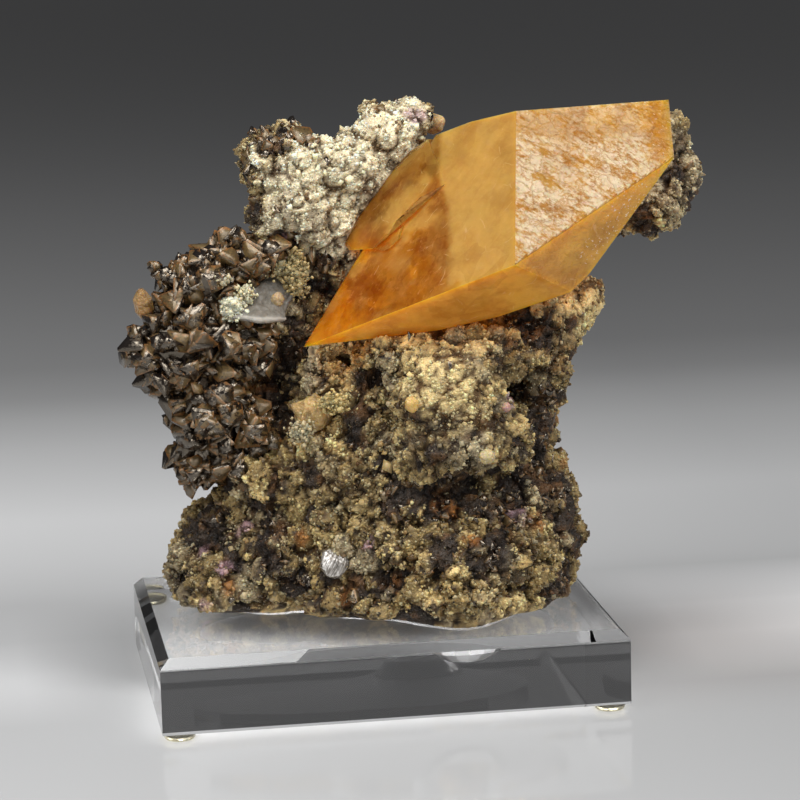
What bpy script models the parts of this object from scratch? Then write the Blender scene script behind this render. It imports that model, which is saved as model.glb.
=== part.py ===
"""A calcite crystal on sphalerite and drusy matrix, standing in a clear display block on four bumper feet.

The frame is +Z up with X to the right of the specimen's face and Y going back. Lengths in the tables are millimetres.
"""

import math
import random

import bmesh
import bpy
from mathutils import Euler, Matrix, Vector

MM = 0.001

# Display block
BLOCK_WIDTH = 118.0
BLOCK_DEPTH = 86.5
BLOCK_HEIGHT = 19.0
BLOCK_CHAMFER = 2.4

# Bumper feet under the block's corners
FOOT_RADIUS = 4.0
FOOT_HEIGHT = 2.2
FOOT_INSET = 4.6
FOOT_SIDES = 18

# Clearance that keeps touching solids apart
GAP = 0.35

BLOCK_TOP = FOOT_HEIGHT + BLOCK_HEIGHT

# Recess carved into the block's top, with a deeper bowl under the rock's front bulge
RECESS_DEPTH = 2.6
RECESS_OUTLINE = (
    (-43, 4), (-35, 1), (-27, -4), (-18, -4), (-9, -12), (2, -17), (11, -26), (20, -31),
    (29, -25), (36, -18), (44, -11), (48, 1), (44, 16), (28, 28), (0, 31), (-28, 27), (-42, 17),
)
BOWL_CENTRE = (20, -18, 22)
BOWL_RADII = (13, 10, 11)

# Lumps of the rock: centre and radii
LOWER_LUMPS = (
    ((-31, 10, 32), (20, 18, 19)), ((0, 2, 36), (24, 22, 22)), ((22, -14, 35), (20, 16, 20)),
    ((43, 2, 40), (12, 20, 22)), ((9, 4, 58), (32, 22, 22)), ((40, 4, 64), (9, 18, 22)),
    ((11, 18, 43), (40, 14, 35)), ((-40, 2, 27), (8, 9, 7)), ((-46, 6, 37), (5, 6, 3.5)),
    ((-38, 5, 41), (9, 9, 7)), ((-29, -2, 26), (8, 7, 6.5)), ((-19, -6, 35), (12, 8, 10)),
    ((-11, -10, 26), (10, 8, 8)), ((2, -15, 26), (10, 8, 7)), ((11, -21, 29), (9, 7, 8)),
    ((22, -23, 27), (11, 9, 8)), ((35, -16, 26), (10, 9, 8)), ((45, -6, 28), (7, 9, 9)),
    ((50, 0, 39), (4.5, 6, 3)), ((48, -2, 24), (4, 7, 6)), ((-25, 2, 55), (12, 9, 10)),
    ((-11, -4, 58), (11, 8, 9)), ((-8, -8, 46), (11, 8, 8)), ((11, -14, 51), (11, 8, 7)),
    ((5, -16, 36), (10, 8, 7)), ((38, -10, 48), (10, 10, 8)), ((31, -16, 40), (11, 9, 8)),
)
MIDDLE_LUMPS = (
    ((-11, 3, 77), (6, 7, 13)), ((-1, -4, 76), (4, 6, 15)), ((4, -8, 83), (4, 5, 9)),
    ((19, -18, 77), (15, 12, 15)), ((19, -20, 66), (14, 11, 7)), ((32, -14, 65), (8, 9, 9)),
    ((7, -8, 89), (9, 9, 6)), ((27, -16, 88), (13, 9, 7)), ((45, -8, 89), (9, 10, 11)),
    ((56, -4, 98), (5, 7, 7)), ((60, -2, 103), (3, 3, 2.5)), ((44, -8, 95), (9, 9, 8)),
    ((46, -3, 80), (5, 8, 9)), ((-20, 12, 70), (14, 10, 14)), ((22, 14, 84), (26, 14, 16)),
    ((13, -8, 89.5), (13, 7, 6)),
)
UPPER_LUMPS = (
    ((-17, 12, 135), (11.5, 11, 10)), ((-16, 10, 123), (12, 11, 10)), ((-1, 13, 131), (12, 11, 11)),
    ((10, 14, 140), (9, 10, 8)), ((14, 14, 145), (7, 8, 4)), ((-4, 15, 114), (12, 11, 12)),
    ((-14, 16, 103), (10, 10, 10)), ((-1, 17, 101), (12, 11, 12)), ((-7, 17, 91), (11, 10, 12)),
    ((-25, 11, 138.5), (4, 6, 8)), ((-25, 16, 93), (12, 11, 17)), ((-25, 8, 98), (10, 6, 3)),
)
REAR_LUMPS = (
    ((23, 20, 114), (20, 12, 22)), ((46, 20, 115), (20, 11, 17)), ((62, 13, 121), (14, 9, 10)),
    ((0, 25, 95), (27, 11, 28)), ((18, 24, 69), (31, 11, 28)), ((-22, 24, 60), (16, 10, 22)),
    ((0, 15, 27), (43, 16, 11)), ((-22, 13, 27), (20, 15, 10)), ((24, 14, 27), (22, 15, 10)),
)
KNOB_LUMPS = (
    ((79, 7, 138), (8, 8, 8)), ((82, 6, 128), (7.5, 9, 9)), ((76, 6, 120), (9, 9, 7)),
    ((71, 9, 127), (11, 9, 8)),
)

# Hollows cut into the rock: centre and radii
HOLLOWS = (
    ((-23, -2, 84), (8, 13, 12)), ((-26, -2, 74), (6, 10, 8)), ((2, -9, 78), (2.6, 8, 9)),
    ((6, -15, 70), (4, 8, 5)), ((23, -25, 56), (13, 9, 4.5)), ((19, -25, 47), (10, 6, 3)),
    ((39, -18, 95), (4.5, 6, 4.5)), ((-26, 3, 106), (9, 8, 7)), ((-5, -15, 66), (3, 6, 3)),
    ((44, -16, 57), (4, 6, 6)), ((-16, -9, 48), (4, 5, 2.5)), ((28, 36, 92), (10, 8, 7)),
    ((-8, 38, 60), (9, 7, 12)),
)

# Core of the dark crystal cluster at the left: centre and radii
CLUSTER_LUMPS = (
    ((-40, 6, 106), (13, 12, 10)), ((-47, 4, 91), (13, 13, 12)), ((-34, 4, 92), (12, 11, 12)),
    ((-40, 4, 75), (11, 12, 12)), ((-42, 5, 60), (8, 8, 7)), ((-31, 3, 66), (9, 8, 11)),
    ((-29, 6, 112), (10, 9, 6)), ((-42, 16, 90), (10, 10, 18)),
)

# Rock texture: sizes of the noise and how far it moves the surface
ROCK_VOXEL = 1.9
COARSE_NOISE_SIZE = 13.0
COARSE_NOISE_HEIGHT = 4.2
FINE_NOISE_SIZE = 5.0
FINE_NOISE_HEIGHT = 2.4
ROCK_TRIANGLES = 3300
CLUSTER_CORE_TRIANGLES = 460

# Blades of sphalerite: sizes, how far apart, and how deep they root
CLUSTER_BLADE_SIZES = (2.8, 4.8)
CLUSTER_BLADE_SPACING = 6.3
ROCK_BLADE_SIZES = (2.0, 3.2)
ROCK_BLADE_SPACING = 6.0
BLADE_ROOT = 0.45
BLADE_LEAN = 0.9

# Places on the rock where sphalerite blades show: centre and radius
ROCK_BLADE_PATCHES = (
    ((-17, 8, 143), 9), ((-25, 12, 132), 7), ((-15, 3, 115), 5), ((2, 14, 147), 6),
    ((62, -2, 103), 5), ((43, -14, 92), 6), ((52, 2, 60), 9), ((52, -6, 30), 8),
    ((-22, 0, 47), 8), ((10, -26, 40), 7), ((-4, 36, 80), 16), ((34, 34, 56), 14),
    ((-30, 26, 40), 12), ((40, 32, 112), 10),
)

# Corners of the large calcite crystal, a twinned scalenohedron lying along the specimen's face
LEFT_TIP = (-16.5, -5.0, 90.5)
RIGHT_TIP = (99.2, -30.5, 153.1)
WAIST = (
    (38.6, -10.0, 148.8), (32.2, -38.6, 114.3), (48.5, -26.5, 104.8), (57.3, -1.5, 112.4), (53.7, 12.2, 136.5),
)
# Three points of the flat break that ends the crystal at the right
BREAK_POINTS = ((73.5, -33.6, 138.2), (75.0, -22.3, 151.4), (53.4, -26.9, 109.5))
# Further corners of the left half: the upper left edge of its front face, and a face along the bottom
SIDE_CORNERS = (
    (-3.5, -1.1, 109.1), (20.4, 4.5, 141.9), (28.3, -1.1, 145.5), (16.8, -15.0, 94.8), (31.6, -18.0, 98.0),
)
# Corners of the second individual, a low slab grown in parallel on the front face's upper left edge
SECOND_INDIVIDUAL = (
    (-4.1, 5.4, 115.4), (-3.1, 2.4, 113.6), (2.4, -4.5, 114.7), (5.3, -6.0, 117.6), (8.0, -5.4, 121.5),
    (10.6, -4.2, 125.3), (14.3, -5.5, 127.3), (20.7, -7.4, 130.8), (18.5, 5.3, 140.8), (14.0, 7.0, 137.6),
    (10.1, 7.3, 133.6), (3.2, 6.5, 125.0), (-0.5, 6.4, 120.5), (11.7, 14.4, 116.7), (31.1, 16.5, 131.0),
    (38.9, 14.8, 138.7),
)
# Corners of the small third point in the notch between the other two
THIRD_INDIVIDUAL = (
    (2.6, -3.1, 114.7), (4.4, -6.5, 114.4), (6.0, -7.7, 115.3), (8.6, -7.9, 117.7), (9.7, -5.9, 120.4),
    (12.0, 2.0, 122.0), (12.0, 4.0, 116.0), (6.0, 4.0, 114.0),
)

# Small calcites: name, centre, radius, length, tilt in degrees about X, Y and Z
SMALL_CALCITES = (
    ("small_calcite_left", (-56.0, 3.0, 102.0), 2.6, 9.0, (10, -12, 20)),
    ("small_calcite_top", (21.6, 16.0, 143.4), 2.8, 6.5, (20, 60, 10)),
    ("small_calcite_front", (-15.0, -5.0, 73.0), 5.2, 11.0, (70, 15, 30)),
)
CALCITE_SIDES = 6
CALCITE_BELT = 0.35

SEED = 7


def clear_scene():
    for old in list(bpy.data.objects):
        bpy.data.objects.remove(old)


def new_collection(name):
    made = bpy.data.collections.new(name)
    bpy.context.scene.collection.children.link(made)
    return made


def new_material(name, colour, roughness, metallic=0.0, transmission=0.0, ior=1.5):
    material = bpy.data.materials.new(name)
    material.use_nodes = True
    shader = material.node_tree.nodes["Principled BSDF"]
    shader.inputs["Base Color"].default_value = (*colour, 1)
    shader.inputs["Roughness"].default_value = roughness
    shader.inputs["Metallic"].default_value = metallic
    shader.inputs["Transmission Weight"].default_value = transmission
    shader.inputs["IOR"].default_value = ior
    return material


def object_of(mesh, name, collection, material=None):
    """Turns a bmesh into an object in a collection."""
    data = bpy.data.meshes.new(name)
    mesh.to_mesh(data)
    mesh.free()
    made = bpy.data.objects.new(name, data)
    collection.objects.link(made)
    if material is not None:
        data.materials.append(material)
    return made


def helper(made):
    """Marks an object as a cutter, which isn't part of the specimen."""
    made.hide_render = True
    made.display_type = "WIRE"
    return made


def bake(made):
    """Replaces an object's mesh by the one that its modifiers make."""
    graph = bpy.context.evaluated_depsgraph_get()
    data = bpy.data.meshes.new_from_object(made.evaluated_get(graph))
    materials = list(made.data.materials)
    made.modifiers.clear()
    made.data = data
    made.matrix_world = Matrix.Identity(4)
    data.materials.clear()
    for material in materials:
        data.materials.append(material)
    return made


def boolean(made, other, operation, use_self=False):
    cut = made.modifiers.new(operation.lower(), "BOOLEAN")
    cut.operation = operation
    cut.object = other
    cut.solver = "EXACT"
    cut.use_self = use_self
    return bake(made)


def keep_largest_island(made):
    """Removes the loose crumbs that a cut leaves beside the main piece."""
    mesh = bmesh.new()
    mesh.from_mesh(made.data)
    unseen = set(mesh.verts)
    islands = []
    while unseen:
        edge_of_search = [unseen.pop()]
        island = set(edge_of_search)
        while edge_of_search:
            vertex = edge_of_search.pop()
            for edge in vertex.link_edges:
                other = edge.other_vert(vertex)
                if other in unseen:
                    unseen.remove(other)
                    island.add(other)
                    edge_of_search.append(other)
        islands.append(island)
    largest = max(islands, key=len)
    crumbs = [vertex for vertex in mesh.verts if vertex not in largest]
    bmesh.ops.delete(mesh, geom=crumbs, context="VERTS")
    mesh.to_mesh(made.data)
    mesh.free()
    return made


def grown_copy(made, distance, collection):
    """A copy of a solid with its faces moved out by a distance, to cut a seat with clearance."""
    copy = bpy.data.objects.new(made.name + "_seat", made.data.copy())
    collection.objects.link(copy)
    grow = copy.modifiers.new("grow", "DISPLACE")
    grow.strength = distance * MM
    grow.mid_level = 0.0
    return helper(bake(copy))


def lumps_object(name, lumps, collection):
    """Overlapping ellipsoids, as one mesh."""
    mesh = bmesh.new()
    for centre, radii in lumps:
        placed = Matrix.Translation(Vector(centre) * MM)
        sized = Matrix.Diagonal((*(Vector(radii) * MM), 1))
        bmesh.ops.create_icosphere(mesh, subdivisions=2, radius=1, matrix=placed @ sized)
    return object_of(mesh, name, collection)


def fuse(made, voxel):
    """Joins overlapping lumps into one skin."""
    remesh = made.modifiers.new("fuse", "REMESH")
    remesh.mode = "VOXEL"
    remesh.voxel_size = voxel * MM
    return made


def roughen(made, kind, size, height):
    """Moves the skin in and out by a noise texture of a given size."""
    texture = bpy.data.textures.new(f"{made.name} {kind.lower()} {size}", kind)
    texture.noise_scale = size * MM
    rough = made.modifiers.new("roughen", "DISPLACE")
    rough.texture = texture
    rough.texture_coords = "LOCAL"
    rough.strength = height * MM
    rough.mid_level = 0.5
    return made


def thin_out(made, triangles):
    """Brings the mesh down to a number of triangles."""
    bake(made)
    count = sum(len(face.vertices) - 2 for face in made.data.polygons)
    fewer = made.modifiers.new("fewer faces", "DECIMATE")
    fewer.ratio = min(1.0, triangles / count)
    fewer.use_collapse_triangulate = True
    return bake(made)


def block_shape(name, size, centre, collection, chamfer=0.0):
    """A box, with its top edges chamfered if asked."""
    mesh = bmesh.new()
    placed = Matrix.Translation(Vector(centre) * MM) @ Matrix.Diagonal((*(Vector(size) * MM), 1))
    bmesh.ops.create_cube(mesh, size=1, matrix=placed)
    if chamfer:
        top = max(vertex.co.z for vertex in mesh.verts) - MM * chamfer / 2
        rim = [edge for edge in mesh.edges if all(vertex.co.z > top for vertex in edge.verts)]
        bmesh.ops.bevel(mesh, geom=rim, offset=chamfer * MM, segments=1, affect="EDGES", clamp_overlap=True)
    return object_of(mesh, name, collection)


def seat_shape(name, collection, inset, depth, height):
    """The recess outline drawn in by inset, from a depth under the block's top up to a height over it, with the bowl."""
    curve = bpy.data.curves.new(name + "_outline", "CURVE")
    curve.dimensions = "2D"
    curve.fill_mode = "BOTH"
    curve.resolution_u = 3
    curve.extrude = (height + depth) / 2 * MM
    curve.offset = -inset * MM
    spline = curve.splines.new("BEZIER")
    spline.bezier_points.add(len(RECESS_OUTLINE) - 1)
    spline.use_cyclic_u = True
    for point, corner in zip(spline.bezier_points, RECESS_OUTLINE):
        point.co = (*(Vector(corner) * MM), 0)
        point.handle_left_type = point.handle_right_type = "AUTO"
    outline = bpy.data.objects.new(name + "_outline", curve)
    collection.objects.link(outline)
    bpy.context.view_layer.update()
    graph = bpy.context.evaluated_depsgraph_get()
    data = bpy.data.meshes.new_from_object(outline.evaluated_get(graph))
    slab = bmesh.new()
    slab.from_mesh(data)
    slab.transform(Matrix.Translation((0, 0, (BLOCK_TOP + (height - depth) / 2) * MM)))
    bmesh.ops.remove_doubles(slab, verts=slab.verts, dist=0.01 * MM)
    bmesh.ops.recalc_face_normals(slab, faces=slab.faces)
    bpy.data.objects.remove(outline)
    seat = object_of(slab, name, collection)
    bowl_mesh = bmesh.new()
    placed = Matrix.Translation(Vector(BOWL_CENTRE) * MM)
    sized = Matrix.Diagonal((*((radius - inset) * MM for radius in BOWL_RADII), 1))
    bmesh.ops.create_uvsphere(bowl_mesh, u_segments=16, v_segments=8, radius=1, matrix=placed @ sized)
    bowl = helper(object_of(bowl_mesh, name + "_bowl", collection))
    return helper(boolean(seat, bowl, "UNION"))


def make_display_block(parts, cutters, material):
    block = block_shape(
        "display_block", (BLOCK_WIDTH, BLOCK_DEPTH, BLOCK_HEIGHT),
        (0, 0, FOOT_HEIGHT + BLOCK_HEIGHT / 2), parts, BLOCK_CHAMFER,
    )
    block.data.materials.append(material)
    recess = seat_shape("recess", cutters, 0.0, RECESS_DEPTH, RECESS_DEPTH)
    return boolean(block, recess, "DIFFERENCE")


def make_foot(name, corner_x, corner_y, parts, material):
    """A turned bumper: flat against the block, with sides that draw in to a soft rim on the table."""
    top = FOOT_HEIGHT - GAP
    profile = ((0, top), (0.92, top), (1.0, 0.8 * top), (0.94, 0.3 * top), (0.8, 0.06 * top), (0.7, 0), (0, 0))
    data = bpy.data.meshes.new(name)
    points = [(radius * FOOT_RADIUS * MM, 0, height * MM) for radius, height in profile]
    data.from_pydata(points, [(i, i + 1) for i in range(len(points) - 1)], [])
    foot = bpy.data.objects.new(name, data)
    parts.objects.link(foot)
    data.materials.append(material)
    turn = foot.modifiers.new("turn", "SCREW")
    turn.steps = turn.render_steps = FOOT_SIDES
    turn.use_merge_vertices = True
    turn.merge_threshold = 0.01 * MM
    turn.use_smooth_shade = True
    foot.location = Vector((corner_x, corner_y, 0)) * MM
    return foot


def hull_object(name, corners, collection):
    mesh = bmesh.new()
    for corner in corners:
        mesh.verts.new(Vector(corner) * MM)
    made = bmesh.ops.convex_hull(mesh, input=mesh.verts)
    bmesh.ops.delete(mesh, geom=made["geom_interior"], context="VERTS")
    bmesh.ops.recalc_face_normals(mesh, faces=mesh.faces)
    return object_of(mesh, name, collection)


def make_calcite_crystal(parts, cutters, material):
    """Two six-sided pyramids on one waist, broken off flat at the right, with two smaller points grown on the left."""
    crystal = hull_object("calcite_crystal", (LEFT_TIP, RIGHT_TIP, *WAIST, *SIDE_CORNERS), parts)
    mesh = bmesh.new()
    mesh.from_mesh(crystal.data)
    first, second, third = (Vector(point) * MM for point in BREAK_POINTS)
    across = (second - first).cross(third - first)
    if across.dot(Vector(RIGHT_TIP) * MM - first) < 0:
        across.negate()
    whole = [*mesh.verts, *mesh.edges, *mesh.faces]
    bmesh.ops.bisect_plane(mesh, geom=whole, plane_co=first, plane_no=across, clear_outer=True)
    bmesh.ops.holes_fill(mesh, edges=mesh.edges)
    bmesh.ops.recalc_face_normals(mesh, faces=mesh.faces)
    mesh.to_mesh(crystal.data)
    mesh.free()
    crystal.data.materials.append(material)
    for name, corners in (("second_individual", SECOND_INDIVIDUAL), ("third_individual", THIRD_INDIVIDUAL)):
        boolean(crystal, helper(hull_object(name, corners, cutters)), "UNION")
    return crystal


def make_small_calcite(name, centre, radius, length, tilt, parts, material):
    """A stubby six-sided crystal: a short belt between two blunt pyramids."""
    mesh = bmesh.new()
    belt = CALCITE_BELT * length
    point = (length - belt) / 2
    bmesh.ops.create_cone(
        mesh, cap_ends=True, segments=CALCITE_SIDES, radius1=radius * MM, radius2=radius * MM, depth=belt * MM,
    )
    for side in (1, -1):
        turned = Matrix.Rotation(0 if side > 0 else math.pi, 4, "X")
        moved = Matrix.Translation((0, 0, side * (belt + point) / 2 * MM))
        bmesh.ops.create_cone(
            mesh, cap_ends=True, segments=CALCITE_SIDES, radius1=radius * MM, radius2=0.25 * radius * MM,
            depth=point * MM, matrix=moved @ turned,
        )
    hull = bmesh.ops.convex_hull(mesh, input=mesh.verts)
    bmesh.ops.delete(mesh, geom=list(set(hull["geom_interior"])), context="VERTS")
    corners = [vertex.co / MM for vertex in mesh.verts]
    mesh.free()
    turn = Euler([math.radians(angle) for angle in tilt]).to_matrix()
    placed = [turn @ corner + Vector(centre) for corner in corners]
    made = hull_object(name, placed, parts)
    made.data.materials.append(material)
    return made


def add_blade(mesh, place, direction, size, rng):
    """One sphalerite crystal: a flattened frustum of three or four sides that leans off the surface."""
    lean = Vector((rng.uniform(-1, 1), rng.uniform(-1, 1), rng.uniform(-1, 1))) * BLADE_LEAN
    axis = (direction + lean).normalized()
    turn = axis.to_track_quat("Z", "Y").to_matrix().to_4x4() @ Matrix.Rotation(rng.uniform(0, math.tau), 4, "Z")
    height = size * rng.uniform(1.2, 1.9)
    middle = Vector(place) + direction * (0.5 - BLADE_ROOT) * height
    flat = Matrix.Diagonal((1, rng.uniform(0.55, 0.9), 1, 1))
    bmesh.ops.create_cone(
        mesh, cap_ends=True, segments=rng.choice((3, 3, 4)), radius1=size * MM,
        radius2=size * rng.uniform(0.3, 0.6) * MM, depth=height * MM,
        matrix=Matrix.Translation(middle * MM) @ turn @ flat,
    )


def blades_on(skin, name, sizes, spacing, collection, patches=None):
    """Blades set on a skin's faces, no nearer to each other than the spacing, all over it or only in patches."""
    rng = random.Random(SEED)
    faces = list(skin.data.polygons)
    rng.shuffle(faces)
    mesh = bmesh.new()
    taken = []
    for face in faces:
        place = face.center / MM
        if patches and not any((place - Vector(centre)).length < radius for centre, radius in patches):
            continue
        if any((place - other).length < spacing for other in taken):
            continue
        taken.append(place)
        add_blade(mesh, place, face.normal, rng.uniform(*sizes), rng)
    return helper(object_of(mesh, name, collection))


def make_matrix(parts, cutters, material, seats):
    """The drusy rock: fused lumps with hollows, rough all over, seated in the block's recess."""
    lumps = (*LOWER_LUMPS, *MIDDLE_LUMPS, *UPPER_LUMPS, *REAR_LUMPS, *KNOB_LUMPS)
    rock = bake(fuse(lumps_object("matrix", lumps, parts), ROCK_VOXEL))
    hollows = bake(fuse(lumps_object("hollows", HOLLOWS, cutters), ROCK_VOXEL / 2))
    boolean(rock, helper(hollows), "DIFFERENCE")
    fuse(rock, ROCK_VOXEL)
    roughen(rock, "CLOUDS", COARSE_NOISE_SIZE, COARSE_NOISE_HEIGHT)
    roughen(rock, "VORONOI", FINE_NOISE_SIZE, FINE_NOISE_HEIGHT)
    fuse(rock, ROCK_VOXEL)
    thin_out(rock, ROCK_TRIANGLES)
    rock.data.materials.append(material)
    blades = blades_on(rock, "rock_blades", ROCK_BLADE_SIZES, ROCK_BLADE_SPACING, cutters, ROCK_BLADE_PATCHES)
    boolean(rock, blades, "UNION", use_self=True)
    slab_height = 4 * BLOCK_HEIGHT
    slab = block_shape(
        "under_rock", (4 * BLOCK_WIDTH, 4 * BLOCK_DEPTH, slab_height),
        (0, 0, BLOCK_TOP + GAP - slab_height / 2), cutters,
    )
    boolean(rock, helper(slab), "DIFFERENCE")
    boolean(rock, seat_shape("seat", cutters, GAP, RECESS_DEPTH - GAP, 3 * GAP), "UNION")
    for seat in seats:
        boolean(rock, seat, "DIFFERENCE")
    return keep_largest_island(rock)


def make_cluster(parts, cutters, material, neighbours):
    """The dark cluster: a lumpy core bristling with sphalerite blades, cut back from its neighbours."""
    cluster = fuse(lumps_object("sphalerite_cluster", CLUSTER_LUMPS, parts), ROCK_VOXEL)
    thin_out(cluster, CLUSTER_CORE_TRIANGLES)
    cluster.data.materials.append(material)
    blades = blades_on(cluster, "cluster_blades", CLUSTER_BLADE_SIZES, CLUSTER_BLADE_SPACING, cutters)
    boolean(cluster, blades, "UNION", use_self=True)
    for neighbour in neighbours:
        boolean(cluster, neighbour, "DIFFERENCE", use_self=True)
    return keep_largest_island(cluster)


def centre_on_footprint(parts):
    """Moves every piece so that the origin is under the middle of the whole specimen."""
    bpy.context.view_layer.update()
    corners = [piece.matrix_world @ Vector(corner) for piece in parts.objects for corner in piece.bound_box]
    middle = [(min(c[i] for c in corners) + max(c[i] for c in corners)) / 2 for i in range(2)]
    for piece in parts.objects:
        piece.location.x -= middle[0]
        piece.location.y -= middle[1]


def main():
    clear_scene()
    parts = new_collection("calcite specimen")
    cutters = new_collection("cutters")
    acrylic = new_material("clear acrylic", (0.95, 0.97, 0.98), 0.02, transmission=1.0, ior=1.49)
    rubber = new_material("clear bumper", (0.85, 0.78, 0.5), 0.2, transmission=0.8)
    amber_calcite = new_material("amber calcite", (0.85, 0.42, 0.08), 0.12, transmission=0.6, ior=1.6)
    pale_calcite = new_material("pale calcite", (0.82, 0.58, 0.3), 0.3)
    druse = new_material("drusy matrix", (0.42, 0.37, 0.25), 0.55)
    sphalerite = new_material("sphalerite", (0.07, 0.045, 0.03), 0.22)

    make_display_block(parts, cutters, acrylic)
    corner_x = BLOCK_WIDTH / 2 - FOOT_INSET
    corner_y = BLOCK_DEPTH / 2 - FOOT_INSET
    for end, y in (("front", -corner_y), ("back", corner_y)):
        for side, x in (("left", -corner_x), ("right", corner_x)):
            make_foot(f"foot_{end}_{side}", x, y, parts, rubber)

    crystal = make_calcite_crystal(parts, cutters, amber_calcite)
    small = [make_small_calcite(*row, parts, pale_calcite) for row in SMALL_CALCITES]
    seats = [grown_copy(piece, GAP, cutters) for piece in (crystal, *small)]
    rock = make_matrix(parts, cutters, druse, seats)
    rock_seat = grown_copy(rock, GAP, cutters)
    make_cluster(parts, cutters, sphalerite, [rock_seat, *seats])
    centre_on_footprint(parts)


main()
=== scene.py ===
"""The looks of an amber calcite crystal on drusy rock, standing in a clear display block.

Tables give places in millimetres, with the display block's centre at x = y = 0 and the table at z = 0.
"""

import itertools
import math

import bmesh
import bpy
import numpy as np
from bpy.props import FloatProperty, FloatVectorProperty, IntProperty, PointerProperty
from mathutils import Matrix, Vector


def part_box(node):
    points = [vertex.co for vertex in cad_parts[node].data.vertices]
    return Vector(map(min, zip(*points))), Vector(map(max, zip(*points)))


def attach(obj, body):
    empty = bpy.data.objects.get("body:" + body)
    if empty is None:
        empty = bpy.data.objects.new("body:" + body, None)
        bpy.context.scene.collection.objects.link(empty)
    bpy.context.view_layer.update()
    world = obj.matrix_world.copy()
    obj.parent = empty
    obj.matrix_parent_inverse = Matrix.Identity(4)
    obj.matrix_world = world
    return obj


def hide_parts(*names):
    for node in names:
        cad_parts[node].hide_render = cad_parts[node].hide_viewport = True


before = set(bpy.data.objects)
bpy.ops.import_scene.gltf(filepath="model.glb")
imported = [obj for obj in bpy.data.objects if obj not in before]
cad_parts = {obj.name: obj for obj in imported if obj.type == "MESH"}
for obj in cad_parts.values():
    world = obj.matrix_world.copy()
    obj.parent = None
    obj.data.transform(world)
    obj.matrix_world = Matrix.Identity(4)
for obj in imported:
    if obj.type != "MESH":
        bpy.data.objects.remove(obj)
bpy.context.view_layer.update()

bl_info = {
    "name": "Calcite Specimen",
    "version": (1, 0, 0),
    "blender": (4, 5, 0),
    "location": "3D View > Sidebar > Specimen",
    "description": "Builds the surfaces of a calcite crystal specimen on its display block",
    "category": "Object",
}

MM = 0.001
BLOCK_LOW, BLOCK_HIGH = (np.array(corner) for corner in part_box("display_block"))
CENTRE = np.array([*(BLOCK_LOW + BLOCK_HIGH)[:2] / 2, 0.0])
BLOCK_TOP = BLOCK_HIGH[2] / MM
CRYSTALS = ("calcite_crystal", "small_calcite_left", "small_calcite_top", "small_calcite_front")

# Factors that hash a cell's three numbers, and the one that mixes the result
HASH_FACTORS = (73856093, 19349663, 83492791)
HASH_LAST = 2246822519
# Corners closer than this, in metres, are merged, and gaps wider than this, in millimetres, aren't measured
MERGE_WITHIN = 1e-6
WIDEST_GAP = 8.0

# Marks on the rock: centre x, y, z and radius of each patch of one look
# Dark rock; some of these patches are painted shade, in crevices by the cluster and the shell and in the band
# under the big lump
DARK_MARKS = (
    (-22, 8, 143, 7), (-14, 8, 147, 7), (-4, 8, 146, 4), (6, 10, 151, 4), (-28, 8, 133, 5),
    (-28, 8, 124, 5), (-20, 4, 114, 6), (-10, 6, 111, 4), (-22, 9, 107, 7), (-20, 8, 88, 8),
    (-23, 4, 72, 7), (40, -16, 93, 6), (45, -10, 76, 7), (46, -9, 66, 9), (45, -12, 51, 9),
    (36, -14, 67, 6), (40, -12, 59, 8), (5, -18, 52, 6), (15, -20, 53, 6), (25, -22, 53, 7),
    (33, -18, 51, 6), (24, -27, 38, 6), (11, -28, 37, 4), (2, -20, 31, 5), (-8, -16, 27, 4),
    (-20, -12, 31, 5), (-26, -11, 36, 4), (-27, -6, 46, 4), (-24, -7, 42, 4), (-40, 0, 47, 4),
    (47, -14, 28, 6), (2, -14, 60, 4), (3, -3, 82, 4), (-5, -12, 67, 3), (20, -20, 57, 8),
)
CREAM_MARKS = (
    (-8, 6, 136, 15), (-14, 4, 126, 15), (8, 8, 143, 13), (-4, 10, 118, 11), (-16, 2, 130, 12),
    (-25, 6, 139, 4), (3, 8, 131, 12), (14, 8, 146, 7),
)
RUST_MARKS = (
    (50, -4, 68, 4), (43, -12, 80, 3), (18, -22, 51, 4), (3, -21, 32, 3), (-9, -17, 28, 3),
    (-38, -7, 30, 2.5), (40, -18, 45, 3), (-2, -18, 24, 3), (49, -6, 56, 3), (-20, -12, 42, 2.5),
    (22, -27, 42, 3),
)
PURPLE_MARKS = (
    (16.5, 7, 146, 3.6), (-20, 2, 117, 2.6), (-33, -5, 45, 2.6), (-44, -2, 38, 2.4), (-44, -4, 24, 2.2),
    (-26, -9, 24, 2.2), (33, -21, 77, 1.8), (36, -18, 47, 4), (39, -14, 66, 2.4), (-13, 3, 118, 2.2),
    (-3, -18, 41, 2.4), (-39, -6, 35, 2.6),
)
SMOOTH_MARKS = (
    (19, -28, 79, 15), (16, -26, 90, 9), (52, -6, 97, 9), (-25, 6, 98, 9), (58, -5, 102, 5),
    (27, -24, 66, 8),
)
BEIGE_MARKS = (
    (12, -28, 86, 11), (19, -28, 80, 9), (26, -24, 72, 6), (62, -8, 100, 7), (54, -10, 97, 8),
    (-2, -12, 80, 6),
)
# Painted shade: these darken the lower part of the big lump, where shade falls
SHADE_MARKS = ((18, -29, 66, 7), (26, -26, 60, 5), (30, -24, 70, 5))
GREY_MARKS = ((-25, 6, 97, 9), (-14, 0, 86, 4), (-14, -2, 80, 4), (22, -27, 65, 6), (82, 2, 130, 16))
# The crust's clumps and grains across, how far noise bends them, and painted shade for its hollows and light
# for its heights
CLUMP_SIZE = 5.6
CRUST_GRAIN_SIZE = 1.7
CRUST_BEND = 1.1
PAINTED_HOLLOW_SHADE = (0.13, 0.085, 0.05)
PAINTED_CREST_LIGHT = (1.06, 1.05, 1.04)
# How the crust fades in over the block and beside the crystals: the gap where it starts, and over how much
BLOCK_FADE = (0.8, 3.0)
CRYSTAL_FADE = (0.2, 2.0)
# Knobs of crust: number of templates, random points in each, size, and the share of it that is in the rock
KNOB_KINDS = 6
KNOB_POINTS = 14
KNOB_SIZE = 0.65
KNOB_SUNK = 0.45
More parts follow.
